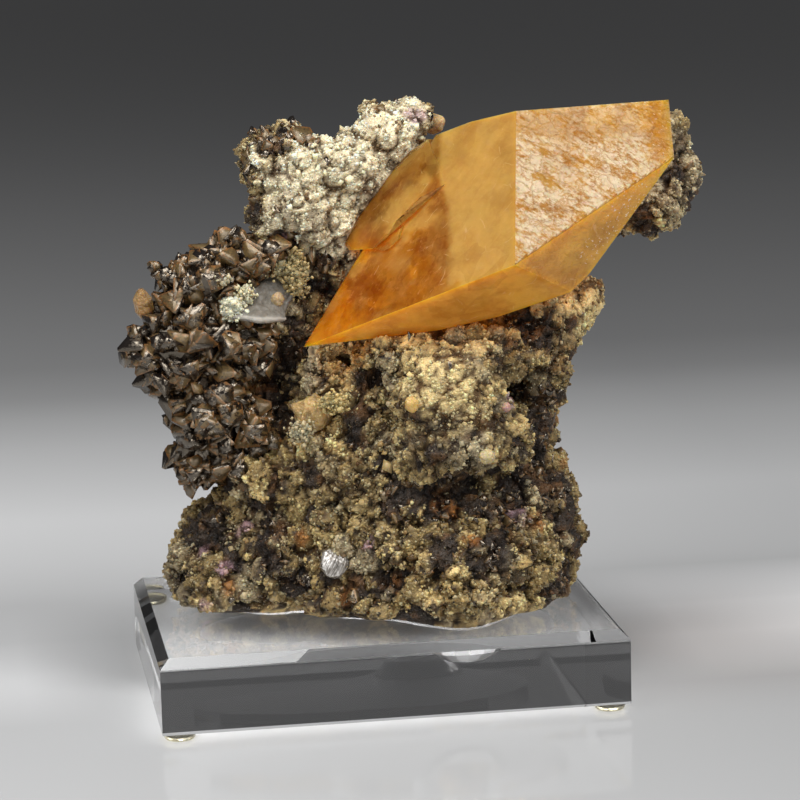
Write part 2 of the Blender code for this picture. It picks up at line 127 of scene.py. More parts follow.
# Loose grains: piece, what it lies on, size and its spread. The kinds are 0 double pyramid, 1 block, 2 rhomb.
SUGAR = (
    ("sugar_coarse", "rock", 0.36, 0.35),
    ("sugar_middle", "rock", 0.33, 0.35),
    ("sugar_fine", "rock", 0.31, 0.35),
    ("sugar_finest", "rock", 0.28, 0.35),
    ("sugar_on_knobs", "knobs", 0.31, 0.3),
    ("fine_sugar_on_knobs", "knobs", 0.28, 0.3),
)
SUGAR_KINDS = (0, 0, 0, 1)
RHOMBS = (
    ("rhombs_on_rock", "rock", 0.8, 0.3),
    ("rhombs_on_knobs", "knobs", 0.75, 0.3),
)
RHOMB_KINDS = (0, 2, 2)
PALE_GRAIN = (0.84, 0.73, 0.46)
# A rhomb's rise per unit outward along its three top edges, and their scale
RHOMB_RISE = 0.62
RHOMB_SCALE = 0.75

# Sphalerite: how far the core lies under the CAD cluster's skin, how far blades keep from the crystals, what
# share of a tetrahedron's edges is cut, how much the blades lean, and how many places are tried on the rock
CORE_DEPTH = 2.2
BLADE_GAP = 3.0
BLADE_CUTS = (0.12, 0.22, 0.33)
BLADE_LEAN = 0.9
ROCK_BLADES_TRIED = 26000
# Blades on the rock are more and larger above this height
UPPER_LUMP = 128

# The large crystal's faces: their normals, and how directly a point's normal has to follow them
LEFT_NORMAL = (-0.638, -0.531, 0.557)
ETCHED_NORMAL = (-0.286, -0.710, 0.640)
LOWER_NORMAL = (0.355, -0.824, -0.441)
FACE_MATCH = (0.965, 0.02)
LOWER_MATCH = (0.93, 0.04)
# A direction across the crystal, and places along it: where the left face turns pale, the etched face's left
# end and the right end of the step on the upper left
ACROSS = (0.988, -0.154, -0.025)
PALE_FROM = 16.0
ETCHED_FROM = 34.0
STEP_TO = 24.0
# Directions along which the growth sheets and the etching run, and how much longer that makes them
GROWTH, GROWTH_STRETCH = (0.65, 0.01, 0.76), 1.6
ETCHING, ETCHING_STRETCH = (0.67, -0.63, -0.40), 2.2
# Marks on and in the large crystal
# Painted shade: a darker olive patch on the lower right face
OLIVE_MARKS = ((49, -31, 110, 7), (56, -33, 117, 7))
PALE_MARKS = ((11, -5, 125, 9), (25, -4, 139, 8), (-1, 0, 110, 5), (68, -22, 148, 5), (58, -19, 148, 4))
AMBER_MARKS = (
    (11, -11, 116, 5), (8, -8, 112, 5), (3, -10, 108, 5), (2, -14, 103, 5), (-15, -6, 91, 6),
    (-5, -12, 96, 5), (11, -20, 100, 8), (24, -27, 103, 7), (52, -32, 119, 5), (57, -33, 124, 4),
    (12, -16, 111, 5), (35, -30, 108, 5),
)
# Where the etched face's frosting and its painted highlight are strongest
FROST_AND_HIGHLIGHT_MARKS = (
    (40, -19, 140, 6), (40, -25, 133, 6), (38, -30, 126, 6), (35, -35, 120, 5), (56, -33, 130, 6),
    (62, -34, 132, 5), (57, -25, 140, 4), (66, -31, 138, 3),
)
# Painted glints: white specks on the crystal where its faces catch the light
PAINTED_GLINT_MARKS = (
    (60, -34, 122, 6), (64, -35, 130, 5), (54, -32, 114, 5), (57, -30, 110, 4), (33, -9, 142, 4),
    (62, -30, 138, 4),
)
# Painted glow: light gathered inside the tip and the right end, painted into the crystal's colour
PAINTED_GLOW_MARKS = (
    (-10, -7, 95, 4), (-1, 0, 113, 3.5), (-3, 0, 111, 2.5), (-5, -8, 101, 4), (-6, -10, 98, 3),
    (-7, -2, 104, 3), (-13, -6, 93, 3), (62, -36, 136, 3),
)
FLAKE_MARKS = (
    (3, -8, 108, 9), (12, -12, 113, 8), (-5, -6, 101, 6), (11, -8, 116, 6), (30, -20, 110, 8),
    (55, -30, 122, 8),
)
# Cracks inside the crystal: places tried, the most that are kept, depths, the least gap to the surface, the
# way that the surface over them faces, their corners, and the longest that one gets
FLAKES_TRIED = 4000
FLAKES_KEPT = 900
FLAKE_DEPTHS = (3.0, 9.0)
FLAKE_GAP = 2.9
FLAKE_SIDE = (-0.15, -0.97, 0.2)
FLAKE_CORNERS = 7
LONGEST_FLAKE = 2.6

# Materials: how far red, green and blue light spread inside, in metres, refraction, and tints of layers
ROCK_SPREAD = (0.002, 0.0014, 0.0008)
GRAIN_SPREAD = (0.0015, 0.001, 0.0006)
CALCITE_SPREAD = (0.008, 0.0045, 0.0014)
CALCITE_IOR = 1.6
CALCITE_GLOSS = (1.0, 0.80, 0.50, 1.0)
ACRYLIC_IOR = 1.49
BUMPER_IOR = 1.45
SHEETS = (0.50, 0.31, 0.15)
WISPS = (0.90, 0.58, 0.20)
CRACKS = (0.95, 0.72, 0.38)
# Frosting on the etched face, whitened further as a painted highlight of the overhead light
FROST_AND_HIGHLIGHT = (0.97, 0.85, 0.58)
PITS = (0.42, 0.19, 0.03)
# Painted glints
PAINTED_GLINT_TINT = (1.0, 0.92, 0.72)
PALE_ABSORBED = (0.9, 0.7, 0.4)
PALE_LAMPS = (0.3, 0.2, 0.1)
AMBER_LAMPS = (0.55, 0.33, 0.12)

# Calcite balls: middle, radii, tint
BALLS = (
    ((7.3, -29.0, 79.0), (1.9, 1.6, 2.1), (0.72, 0.52, 0.19)),
    ((26.0, -28.8, 64.5), (2.2, 1.8, 1.9), (0.60, 0.52, 0.30)),
    ((-22.3, -1.2, 102.4), (1.7, 1.3, 1.9), (0.52, 0.40, 0.24)),
    ((32.0, -24.5, 76.0), (1.2, 1.0, 1.2), (0.60, 0.38, 0.34)),
)
# Heaps of crumbs: middle, radii, tint, how many
CRUMBS = (
    ((-34.5, -5.5, 101.5), (2.5, 2.0, 2.7), (0.80, 0.72, 0.50), 1000),
    ((-31, -3.5, 104.5), (2.6, 2, 2.6), (0.66, 0.57, 0.36), 260),
    ((-23, 3, 110.5), (4.5, 2.5, 2.4), (0.46, 0.37, 0.20), 1100),
    ((-17, 1.5, 108), (2.6, 2.4, 5.5), (0.40, 0.30, 0.14), 1100),
    ((-37.5, -5, 108.5), (2.6, 2, 2), (0.52, 0.45, 0.30), 180),
    ((-10.5, -11.5, 77), (4.0, 2.0, 2.6), (0.52, 0.39, 0.17), 300),
    ((-18, -9, 69.5), (3.0, 2.2, 2.8), (0.52, 0.43, 0.26), 420),
)
# The small crystals: node, tint, how far noise dents it
SMALL_LOOKS = (
    ("small_calcite_left", (0.58, 0.36, 0.15), 0.25),
    ("small_calcite_top", (0.72, 0.52, 0.27), 0.25),
    ("small_calcite_front", (0.76, 0.55, 0.25), 1.3),
)
# The grey shell's four edges, each as four points: the lower and upper from left to right, the sides upward
SHELL_LOW = ((-34.5, -6, 98.6), (-30.1, -7, 98.0), (-25.5, -7, 97.4), (-20.8, -5, 96.7))
SHELL_HIGH = ((-28.3, 3, 107.8), (-23.8, 5, 111.4), (-19.3, 4, 112.3), (-15.1, 1, 112.7))
SHELL_LEFT = ((-34.5, -6, 98.6), (-32.7, -4, 102.3), (-29.9, -1, 104.4), (-28.3, 3, 107.8))
SHELL_RIGHT = ((-20.8, -5, 96.7), (-18.8, -3, 101.1), (-16.5, -2, 106.0), (-15.1, 1, 112.7))
SHELL_WALL = 1.0
# The bright cleaved crystal's middle and half-sizes
CLEAVAGE = ((-12.0, -16.0, 36.5), (3.9, 4.8, 3.4))
# The recess in the block lies within these distances of its middle, across and back, and above this height
RECESS = (52, 37, 5)
# A foot's profile: share of its radius, share of its height
FOOT_PROFILE = (
    (0.0, 1.0), (0.7, 1.0), (0.92, 0.97), (0.99, 0.84), (1.0, 0.63), (0.96, 0.29), (0.86, 0.06), (0.7, 0.0),
    (0.0, 0.0),
)

# The camera: place looked at, distance from it, azimuth, elevation and roll in degrees, and sensor width
CAMERA_TARGET = (8.7, 0.0, 74.4)
CAMERA_DISTANCE = 839.7
CAMERA_ANGLES = (-8.58, 11.34, -1.48)
SENSOR_WIDTH = 36
# Half the floor's width in metres, and shares of its tint at distances behind the block's middle
FLOOR_REACH = 4
# Painted light: the floor's tint falls off with distance, as the softboxes' light would
FLOOR_TONES = (
    (60, 1.04), (110, 1.34), (204, 1.60), (313, 1.32), (367, 1.1), (406, 0.88), (469, 0.74), (909, 0.72),
    (2300, 0.5),
)
# What that share gains this far to the left and to the right of the frame's middle
# Painted light: the floor is painted brighter to the left
FLOOR_SIDES = (0.13, -0.2)
FLOOR_SIDE = 150
# The band of floor beside the block where it gains nothing by that: how far its middle is behind the block's,
# how far the plain part reaches from there, and where its soft rims end
FLOOR_BAND, BAND_PLAIN, BAND_RIM = 40, 15, 60
# What the share gains in that band, off the block's two sides and to the right: where the gain starts, where
# it is whole, and how much it is
# Painted light: the floor is painted brighter over the cast shadows beside the block
BAND_BESIDE = (62, 90, 0.42)
BAND_RIGHT = (50, 130, 0.2)
# Softboxes: name, place, place looked at, width, height, share of power, and which power it takes
SOFTBOXES = (
    ("key", (-268, -262, 985), (55, -25, 130), 580, 580, 1.05, "key_power"),
    ("left", (-600, -640, 600), (-20, -10, 60), 700, 700, 0.6, "fill_power"),
    ("right", (520, -450, 660), (10, -20, 90), 420, 420, 0.95, "fill_power"),
    ("low", (60, -950, 120), (20, 0, 70), 700, 200, 0.2, "fill_power"),
)


def place(points):
    """Turns millimetres about the block's centre into metres in the frame."""
    return np.asarray(points, float) * MM + CENTRE


def in_mm(points):
    """Turns metres in the frame into millimetres about the block's centre."""
    return (points - CENTRE) / MM


def smoothstep(value):
    """0 below 0, 1 above 1 and 3t^2 - 2t^3 between."""
    t = np.clip(value, 0.0, 1.0)
    return t * t * (3.0 - 2.0 * t)


def lattice(cells, seed):
    """Hashed numbers in 0..1 for whole-number cells: their bits are multiplied, mixed and shifted."""
    mixed = np.full(cells.shape[:-1], seed * 7919 + 13, np.uint32)
    for axis, factor in enumerate(HASH_FACTORS):
        bits = (cells[..., axis].astype(np.int64) & 0xFFFFFFFF).astype(np.uint32)
        mixed = (mixed ^ bits) * np.uint32(factor)
        mixed ^= mixed >> np.uint32(15)
    mixed = mixed * np.uint32(HASH_LAST)
    mixed ^= mixed >> np.uint32(13)
    return mixed / 2.0**32


def smooth_noise(points, size, seed):
    """Value noise in -1..1: lattice numbers at the corners of cubes of one size, blended with 3t^2 - 2t^3."""
    scaled = points / size
    base = np.floor(scaled)
    t = smoothstep(scaled - base)
    base = base.astype(np.int64)
    total = np.zeros(len(points))
    for corner in itertools.product((0, 1), repeat=3):
        weight = np.prod(np.where(corner, t, 1.0 - t), axis=1)
        total += weight * lattice(base + corner, seed)
    return 2.0 * total - 1.0


def noise_vectors(points, size, seeds):
    """Three value noises for each point, as a vector."""
    return np.stack([smooth_noise(points, size, seed) for seed in seeds], axis=1)


def ridges(points, size, seed):
    """Sharp crests where a value noise crosses 0: 1 less twice its absolute value."""
    return 1 - np.abs(smooth_noise(points, size, seed)) * 2


def grains(points, size, seed):
    """Cells round one hashed point per cube of space.

    Gives each point's distance to the nearest and to the next of them, the way from the nearest to it, and
    the nearest's own three numbers.
    """
    scaled = points / size
    base = np.floor(scaled).astype(np.int64)
    nearest = np.full(len(points), 9.0)
    second = np.full(len(points), 9.0)
    away = np.zeros((len(points), 3))
    cell = np.zeros((len(points), 3), np.int64)
    for step in itertools.product((-1, 0, 1), repeat=3):
        here = base + step
        centre = here + np.stack([lattice(here, seed + axis) for axis in range(3)], axis=1)
        offset = scaled - centre
        distance = np.sqrt((offset**2).sum(axis=1))
        closer = distance < nearest
        second = np.where(closer, nearest, np.minimum(second, distance))
        nearest = np.where(closer, distance, nearest)
        away[closer] = offset[closer]
        cell[closer] = here[closer]
    numbers = np.stack([lattice(cell, seed + 11 + axis) for axis in range(3)], axis=1)
    return nearest, second, away, numbers


def patch(points, marks, wobble=0.35, seed=3):
    """How far inside the marks a point is, from 1 in a mark's middle to 0 at its radius.

    Two sizes of noise move the marks' edges by a share of their radius, the finer by half as much.
    """
    inside = np.full(len(points), -9.0)
    for mark in np.array(marks, float):
        distance = np.sqrt(((points - mark[:3]) ** 2).sum(axis=1))
        inside = np.maximum(inside, 1.0 - distance / mark[3])
    edge = wobble * smooth_noise(points, 3.2, seed) + 0.5 * wobble * smooth_noise(points, 1.4, seed + 1)
    return smoothstep((inside + edge) * 2.2 + 0.15)


def blend(first, second, amount):
    """Mixes two colours, or arrays of them, by an amount for each point."""
    amount = np.asarray(amount)[:, None]
    return np.asarray(first) * (1.0 - amount) + np.asarray(second) * amount


def new_object(name, mesh):
    piece = bpy.data.objects.new(name, mesh)
    bpy.context.scene.collection.objects.link(piece)
    return piece


def new_mesh(name, corners, faces):
    """A mesh from an array of corners and an array of faces that all have as many sides."""
    mesh = bpy.data.meshes.new(name)
    mesh.vertices.add(len(corners))
    mesh.vertices.foreach_set("co", np.ascontiguousarray(corners, np.float32).ravel())
    mesh.loops.add(faces.size)
    mesh.loops.foreach_set("vertex_index", np.ascontiguousarray(faces, np.int32).ravel())
    mesh.polygons.add(len(faces))
    mesh.polygons.foreach_set("loop_start", np.arange(0, faces.size, faces.shape[1], dtype=np.int32))
    mesh.update(calc_edges=True)
    return mesh


def corners_of(mesh):
    out = np.empty(len(mesh.vertices) * 3, np.float32)
    mesh.vertices.foreach_get("co", out)
    return out.reshape(-1, 3).astype(float)


def normals_of(mesh):
    out = np.empty(len(mesh.vertices) * 3, np.float32)
    mesh.vertex_normals.foreach_get("vector", out)
    return out.reshape(-1, 3).astype(float)


def triangles_of(mesh):
    mesh.calc_loop_triangles()
    out = np.empty(len(mesh.loop_triangles) * 3, np.int32)
    mesh.loop_triangles.foreach_get("vertices", out)
    return out.reshape(-1, 3)


def set_corners(mesh, corners):
    mesh.vertices.foreach_set("co", np.ascontiguousarray(corners, np.float32).ravel())
    mesh.update()


def set_colour(mesh, name, colours, domain="POINT"):
    """Writes a colour for each corner or face."""
    layer = mesh.attributes.new(name, "FLOAT_COLOR", domain)
    rgba = np.ones((len(colours), 4), np.float32)
    rgba[:, :3] = colours
    layer.data.foreach_set("color", rgba.ravel())


def set_number(mesh, name, numbers, domain="POINT"):
    """Writes a number for each corner or face."""
    layer = mesh.attributes.new(name, "FLOAT", domain)
    layer.data.foreach_set("value", np.ascontiguousarray(numbers, np.float32))


def mark_evenly(mesh, **marks):
    """Writes the same number for every corner, for each mark."""
    for name, number in marks.items():
        set_number(mesh, name, np.full(len(mesh.vertices), number))


def node_copy(node, name):
    """A copy of a CAD node with its doubled corners merged."""
    shape = bmesh.new()
    shape.from_mesh(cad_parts[node].data)
    bmesh.ops.remove_doubles(shape, verts=shape.verts, dist=MERGE_WITHIN)
    mesh = bpy.data.meshes.new(name)
    shape.to_mesh(mesh)
    shape.free()
    return new_object(name, mesh)


def bake(piece):
    """Replaces a piece's mesh by the one that its modifiers make."""
    graph = bpy.context.evaluated_depsgraph_get()
    mesh = bpy.data.meshes.new_from_object(piece.evaluated_get(graph))
    piece.modifiers.clear()
    piece.data = mesh
    return piece


def hand_over(piece, material, slot, *nodes):
    """Gives a finished piece its material and its body, and hides the CAD nodes it stands for. The slot is
    not used.
    """
    if material is not None:
        piece.data.materials.clear()
        piece.data.materials.append(material)
    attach(piece, "root")
    if nodes:
        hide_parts(*nodes)
    return piece


def gap_to(points, mesh):
    """Distance from points to a mesh of few triangles: to the plane over a face, else to the nearest edge."""
    corners = corners_of(mesh)[triangles_of(mesh)]
    least = np.full(len(points), np.inf)
    for triangle in corners:
        edges = np.roll(triangle, -1, axis=0) - triangle
        normal = np.cross(edges[0], edges[1])
        size = np.linalg.norm(normal)
        if size < 1e-12:
            continue
        normal /= size
        inside = np.ones(len(points), bool)
        for corner, edge in zip(triangle, edges):
            to_point = points - corner
            along = np.clip(to_point @ edge / max(edge @ edge, 1e-12), 0.0, 1.0)
            least = np.minimum(least, np.sqrt(((to_point - along[:, None] * edge) ** 2).sum(axis=1)))
            inside &= to_point @ np.cross(normal, edge) >= 0
        flat = np.abs((points - triangle[0]) @ normal)
        least = np.where(inside, np.minimum(least, flat), least)
    return least


def clearance(points, nodes):
    """Distance in millimetres from points to the nearest of some CAD nodes, up to the widest measured."""
    gap = np.full(len(points), WIDEST_GAP)
    for node in nodes:
        low, high = (np.array(corner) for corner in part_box(node))
        near = np.all((points > low - WIDEST_GAP * MM) & (points < high + WIDEST_GAP * MM), axis=1)
        if near.any():
            gap[near] = np.minimum(gap[near], gap_to(points[near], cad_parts[node].data) / MM)
    return gap


def sample_surface(mesh, count, rng):
    """Random places on a mesh, as many per area everywhere, with the normal of each one's face."""
    corners = corners_of(mesh)[triangles_of(mesh)]
    across = np.cross(corners[:, 1] - corners[:, 0], corners[:, 2] - corners[:, 0])
    area = np.linalg.norm(across, axis=1)
    picked = rng.choice(len(corners), count, p=area / area.sum())
    u, v = rng.random((2, count))
    turned = u + v > 1
    u, v = np.where(turned, 1 - u, u), np.where(turned, 1 - v, v)
    first, second, third = (corners[picked, corner] for corner in range(3))
    places = first + u[:, None] * (second - first) + v[:, None] * (third - first)
    return places, across[picked] / np.maximum(area[picked], 1e-12)[:, None]


def turns(axes, rng):
    """Rotation matrices whose third column is each axis, spun by a random angle about it."""
    axes = axes / np.linalg.norm(axes, axis=1, keepdims=True)
    side = np.cross(axes, rng.normal(size=axes.shape))
    side /= np.linalg.norm(side, axis=1, keepdims=True)
    return np.stack([side, np.cross(axes, side), axes], axis=2)


def scatter(template, places, rotations, stretch):
    """Copies of one small solid: its corners times a copy's stretch, turned by its matrix and moved."""
    corners, faces = template[:2]
    shaped = corners[None] * stretch[:, None]
    turned = np.einsum("nij,nkj->nki", rotations, shaped) + places[:, None]
    indices = faces[None] + len(corners) * np.arange(len(places))[:, None, None]
    return turned.reshape(-1, 3), indices.reshape(-1, 3)


def gather(templates, kind, places, rotations, stretch):
    """Corners and triangles of copies of several templates, and the numbers of each template's copies."""
    corners, faces, owners, used = [], [], [], 0
    for number, template in enumerate(templates):
        own = np.nonzero(kind == number)[0]
        made_corners, made_faces = scatter(template, places[own], rotations[own], stretch[own])
        corners.append(made_corners)
        faces.append(made_faces + used)
        owners.append(own)
        used += len(made_corners)
    return np.concatenate(corners), np.concatenate(faces), owners


def copies(name, templates, kind, places, rotations, stretch, tint):
    """One piece of many small solids, each a stretched and turned copy of a template in its own tint."""
    corners, faces, owners = gather(templates, kind, places, rotations, stretch)
    tints = [np.repeat(tint[own], len(template[0]), axis=0) for own, template in zip(owners, templates)]
    mesh = new_mesh(name, corners, faces)
    set_colour(mesh, "tint", np.concatenate(tints))
    return new_object(name, mesh)


def hull_template(points, middles=False):
    """A small convex solid: corners, triangles, each triangle's flat side, and 1 for true corners.

    With middles, each flat side is a fan about a point in its middle, so that a number can run from 1 on its
    edges to 0 in its middle.
    """
    shape = bmesh.new()
    for point in points:
        shape.verts.new(point)
    made = bmesh.ops.convex_hull(shape, input=shape.verts)
    bmesh.ops.delete(shape, geom=made["geom_interior"], context="VERTS")
    bmesh.ops.dissolve_limit(shape, angle_limit=0.01, verts=shape.verts, edges=shape.edges)
    bmesh.ops.recalc_face_normals(shape, faces=shape.faces)
    shape.verts.index_update()
    corners = [np.array(vertex.co) for vertex in shape.verts]
    true_corners = len(corners)
    triangles, sides = [], []
    for side, face in enumerate(shape.faces):
        ring = [vertex.index for vertex in face.verts]
        if middles:
            corners.append(np.mean([corners[index] for index in ring], axis=0))
            fan = [(a, b, len(corners) - 1) for a, b in zip(ring, ring[1:] + ring[:1])]
        else:
            fan = [(ring[0], a, b) for a, b in zip(ring[1:], ring[2:])]
        triangles += fan
        sides += [side] * len(fan)
    shape.free()
    rim = np.arange(len(corners)) < true_corners
    return np.array(corners), np.array(triangles), np.array(sides), rim.astype(float)


def tetrahedron_cut(cut):
    """Points of a tetrahedron with its corners cut off: each lies a share of the way along an edge."""
    tips = np.array([(1, 1, 1), (1, -1, -1), (-1, 1, -1), (-1, -1, 1)], float) / math.sqrt(3)
    return [tips[i] * (1 - cut) + tips[j] * cut for i in range(4) for j in range(4) if i != j]


def block_points(top):
    """Points of a small block whose top is drawn in."""
    return [(x * s, y * s, z) for z, s in ((-1, 1.0), (1, top)) for x in (-1, 1) for y in (-1, 1)]


def point_points(length):
    """Points of a small crystal with four faces at each end."""
    return [(1, 0, 0), (0, 1, 0), (-1, 0, 0), (0, -1, 0), (0, 0, length), (0, 0, -length)]


def prism_points(sides, point):
    """Points of a short prism with a pyramid on each end."""
    ring = [(math.cos(a), math.sin(a)) for a in np.linspace(0, math.tau, sides, endpoint=False)]
    return [(x, y, z) for z in (-0.35, 0.35) for x, y in ring] + [(0, 0, -point), (0, 0, point)]


def rhomb_points():
    """Points of a calcite rhombohedron that stands on a corner: the sums of three edges about an axis."""
    ring = [math.radians(angle) for angle in (0, 120, 240)]
    edges = [np.array((math.cos(a), math.sin(a), RHOMB_RISE)) * RHOMB_SCALE for a in ring]
    picks = itertools.product((0, 1), repeat=3)
    points = [sum((edge for edge, used in zip(edges, pick) if used), np.zeros(3)) for pick in picks]
    return [point - sum(edges) / 2 for point in points]


def grid_faces(rows, columns):
    """Four-sided faces of a grid of corners."""
    row, column = np.meshgrid(np.arange(rows - 1), np.arange(columns - 1), indexing="ij")
    first = (row * columns + column).ravel()
    return np.stack([first, first + columns, first + columns + 1, first + 1], axis=1)


def close_seam(piece):
    """Merges the corners that meet at a turned surface's seam and poles, and turns its faces outward."""
    shape = bmesh.new()
    shape.from_mesh(piece.data)
    bmesh.ops.remove_doubles(shape, verts=shape.verts, dist=MERGE_WITHIN)
    bmesh.ops.dissolve_degenerate(shape, edges=shape.edges, dist=1e-7)
    bmesh.ops.recalc_face_normals(shape, faces=shape.faces)
    shape.to_mesh(piece.data)
    shape.free()


# Materials


class Nodes:
    """A short way to add and join shader nodes."""

    def __init__(self, name):
        self.material = bpy.data.materials.new(name)
        self.material.use_nodes = True
        self.tree = self.material.node_tree
        self.shader = self.tree.nodes["Principled BSDF"]
        self.output = self.tree.nodes["Material Output"]

    def add(self, kind, **settings):
        node = self.tree.nodes.new(kind)
        for key, value in settings.items():
            if key in node.inputs:
                self.feed(node.inputs[key], value)
            else:
                setattr(node, key, value)
        return node

    def feed(self, socket, value):
        if isinstance(value, bpy.types.NodeSocket):
            self.tree.links.new(value, socket)
        else:
            socket.default_value = value

    def set(self, **values):
        """Sets inputs of the Principled shader. An underscore in a key stands for a space."""
        for key, value in values.items():
            self.feed(self.shader.inputs[key.replace("_", " ")], value)

    def places(self):
        return self.add("ShaderNodeTexCoord").outputs["Object"]

    def along(self, direction, stretch):
        """Places drawn out along a direction, so that what a texture makes of them is that much longer."""
        turn = Vector(direction).to_track_quat("X", "Z").to_euler()
        node = self.add(
            "ShaderNodeMapping", vector_type="TEXTURE", Rotation=tuple(turn), Scale=(stretch, 1.0, 1.0),
        )
        self.feed(node.inputs["Vector"], self.places())
        return node.outputs["Vector"]

    def let_lamps_through(self, tint):
        """Lets rays from lamps pass, tinted, as light does through a clear body."""
        see_through = self.add("ShaderNodeBsdfTransparent", Color=(*tint, 1.0))
        both = self.add("ShaderNodeMixShader")
        self.feed(both.inputs[0], self.add("ShaderNodeLightPath").outputs["Is Shadow Ray"])
        self.feed(both.inputs[1], self.shader.outputs["BSDF"])
        self.feed(both.inputs[2], see_through.outputs["BSDF"])
        self.feed(self.output.inputs["Surface"], both.outputs["Shader"])

    def attribute(self, name, output="Color"):
        return self.add("ShaderNodeAttribute", attribute_name=name).outputs[output]

    def bent(self, vector, size, reach):
        """A vector that noise pushes about, so that a pattern on it wavers. Sizes are in millimetres."""
        noise = self.add("ShaderNodeTexNoise", Scale=1 / (size * MM), Detail=3.0)
        self.feed(noise.inputs["Vector"], self.places())
        moved = self.add("ShaderNodeVectorMath", operation="MULTIPLY_ADD")
        for socket, value in zip(moved.inputs, (noise.outputs["Color"], (reach * MM,) * 3, vector)):
            self.feed(socket, value)
        return moved.outputs["Vector"]

    def noise(self, size, detail=4.0, roughness=0.6, vector=None):
        node = self.add("ShaderNodeTexNoise", Scale=1 / (size * MM), Detail=detail, Roughness=roughness)
        self.feed(node.inputs["Vector"], vector or self.places())
        return node.outputs["Fac"]

    def cells(self, size, feature="F1", output="Distance", vector=None):
        node = self.add("ShaderNodeTexVoronoi", feature=feature, Scale=1 / (size * MM))
        self.feed(node.inputs["Vector"], vector or self.places())
        return node.outputs[output]

    def span(self, value, low, high, to_low=0.0, to_high=1.0):
        node = self.add("ShaderNodeMapRange")
        settings = {"Value": value, "From Min": low, "From Max": high, "To Min": to_low, "To Max": to_high}
        for key, number in settings.items():
            self.feed(node.inputs[key], number)
        return node.outputs["Result"]

    def math(self, operation, first, second=0.0):
        node = self.add("ShaderNodeMath", operation=operation)
        self.feed(node.inputs[0], first)
        self.feed(node.inputs[1], second)
        return node.outputs["Value"]

    def mix(self, amount, first, second, blend_type="MIX"):
        node = self.add("ShaderNodeMix", data_type="RGBA", blend_type=blend_type)
        self.feed(node.inputs["Factor"], amount)
        for socket, value in ((node.inputs[6], first), (node.inputs[7], second)):
            self.feed(socket, value if isinstance(value, bpy.types.NodeSocket) else (*value, 1.0))
        return node.outputs[2]

    def bump(self, height, distance, strength=1.0, normal=None):
        node = self.add("ShaderNodeBump", Strength=strength, Distance=distance * MM)
        self.feed(node.inputs["Height"], height)
        if normal is not None:
            self.feed(node.inputs["Normal"], normal)
        return node.outputs["Normal"]


def rock_material():
    """Sugary crust: the painted tint broken up at grain size, with dark pits and a gloss that varies."""
    m = Nodes("druse rock")
    speckle = m.span(m.noise(0.7, 4.0, 0.7), 0.3, 0.7, 0.74, 1.26)
    pits = m.span(m.cells(1.2), 0.0, 0.3, 0.7, 1.0)
    tint = m.mix(1.0, m.attribute("tint"), m.math("MULTIPLY", speckle, pits), "MULTIPLY")
    gloss = m.span(m.noise(0.5), 0.35, 0.65, 0.3, 0.75)
    m.set(Base_Color=tint, Roughness=gloss, Specular_IOR_Level=0.35)
    m.set(Subsurface_Weight=0.4, Subsurface_Radius=ROCK_SPREAD, Subsurface_Scale=1.0)
    coarse = m.bump(m.noise(1.6, 3.0), 0.9, 0.8)
    m.set(Normal=m.bump(m.cells(0.45), 0.3, 0.8, coarse))
    return m.material


def grain_material():
    """Small translucent calcite grains with the tint of the crust under them."""
    m = Nodes("druse grains")
    gloss = m.span(m.noise(2.5), 0.4, 0.6, 0.14, 0.6)
    m.set(Base_Color=m.attribute("tint"), Roughness=gloss, Specular_IOR_Level=0.35)
    m.set(Subsurface_Weight=0.6, Subsurface_Radius=GRAIN_SPREAD, Subsurface_Scale=1.0)
    return m.material


def sphalerite_material(settings):
    """Near-black faces with a submetallic gloss, and a brown coat with rusty rims on marked faces."""
    m = Nodes("sphalerite")
    patchy = m.span(m.noise(1.6, 5.0), 0.3, 0.7, -0.25, 0.25)
    covered = m.span(m.math("ADD", m.attribute("coat", "Fac"), patchy), 0.46, 0.58)
    coat = m.mix(m.attribute("tone", "Fac"), settings.brown_coat, settings.tan_coat)
    rim = m.math("ADD", m.attribute("rim", "Fac"), m.span(m.noise(0.8, 3.0), 0.3, 0.7, -0.2, 0.2))
    coat = m.mix(m.span(rim, 0.78, 0.98), coat, settings.rust)
    coat = m.mix(m.span(m.noise(0.5, 3.0), 0.4, 0.75), coat, settings.sphalerite)
    m.set(Base_Color=m.mix(covered, settings.sphalerite, coat), IOR=2.1, Specular_Tint=(1.0, 0.86, 0.68, 1.0))
    m.set(Roughness=m.span(covered, 0.0, 1.0, 0.12, 0.42))
    m.set(Normal=m.bump(m.noise(1.2, 4.0), 0.3, 0.6))
    return m.material


def calcite_veils(m, inner):
    """The piece's tint with darker growth sheets, lighter wisps and thin bright cracks, by a share."""
    own = m.attribute("tint")
    grown = m.along(GROWTH, GROWTH_STRETCH)
    bent = m.bent(grown, 6.0, 3.0)
    sheets = m.span(m.cells(5.5, output="Color", vector=bent), 0.0, 1.0, 0.0, 0.55)
    sheets = m.math("ADD", sheets, m.span(m.cells(2.3, output="Color", vector=bent), 0.0, 1.0, 0.0, 0.25))
    sheets = m.math("ADD", sheets, m.span(m.noise(9.0, 4.0, 0.6), 0.35, 0.65, -0.3, 0.5))
    dim = m.mix(1.0, own, SHEETS, "MULTIPLY")
    tint = m.mix(m.math("MULTIPLY", m.span(sheets, 0.2, 1.0), inner), own, dim)
    wisps = m.math("MULTIPLY", m.span(m.noise(1.8, 6.0, 0.75, grown), 0.54, 0.7), inner)
    tint = m.mix(m.math("MULTIPLY", wisps, 0.35), tint, WISPS)
    cracks = m.span(m.cells(7.0, "DISTANCE_TO_EDGE", vector=bent), 0.0, 0.02, 1.0, 0.0)
    cracks = m.math("MULTIPLY", cracks, m.span(m.noise(5.0), 0.54, 0.62))
    return m.mix(m.math("MULTIPLY", cracks, m.math("MULTIPLY", inner, 0.6)), tint, CRACKS)


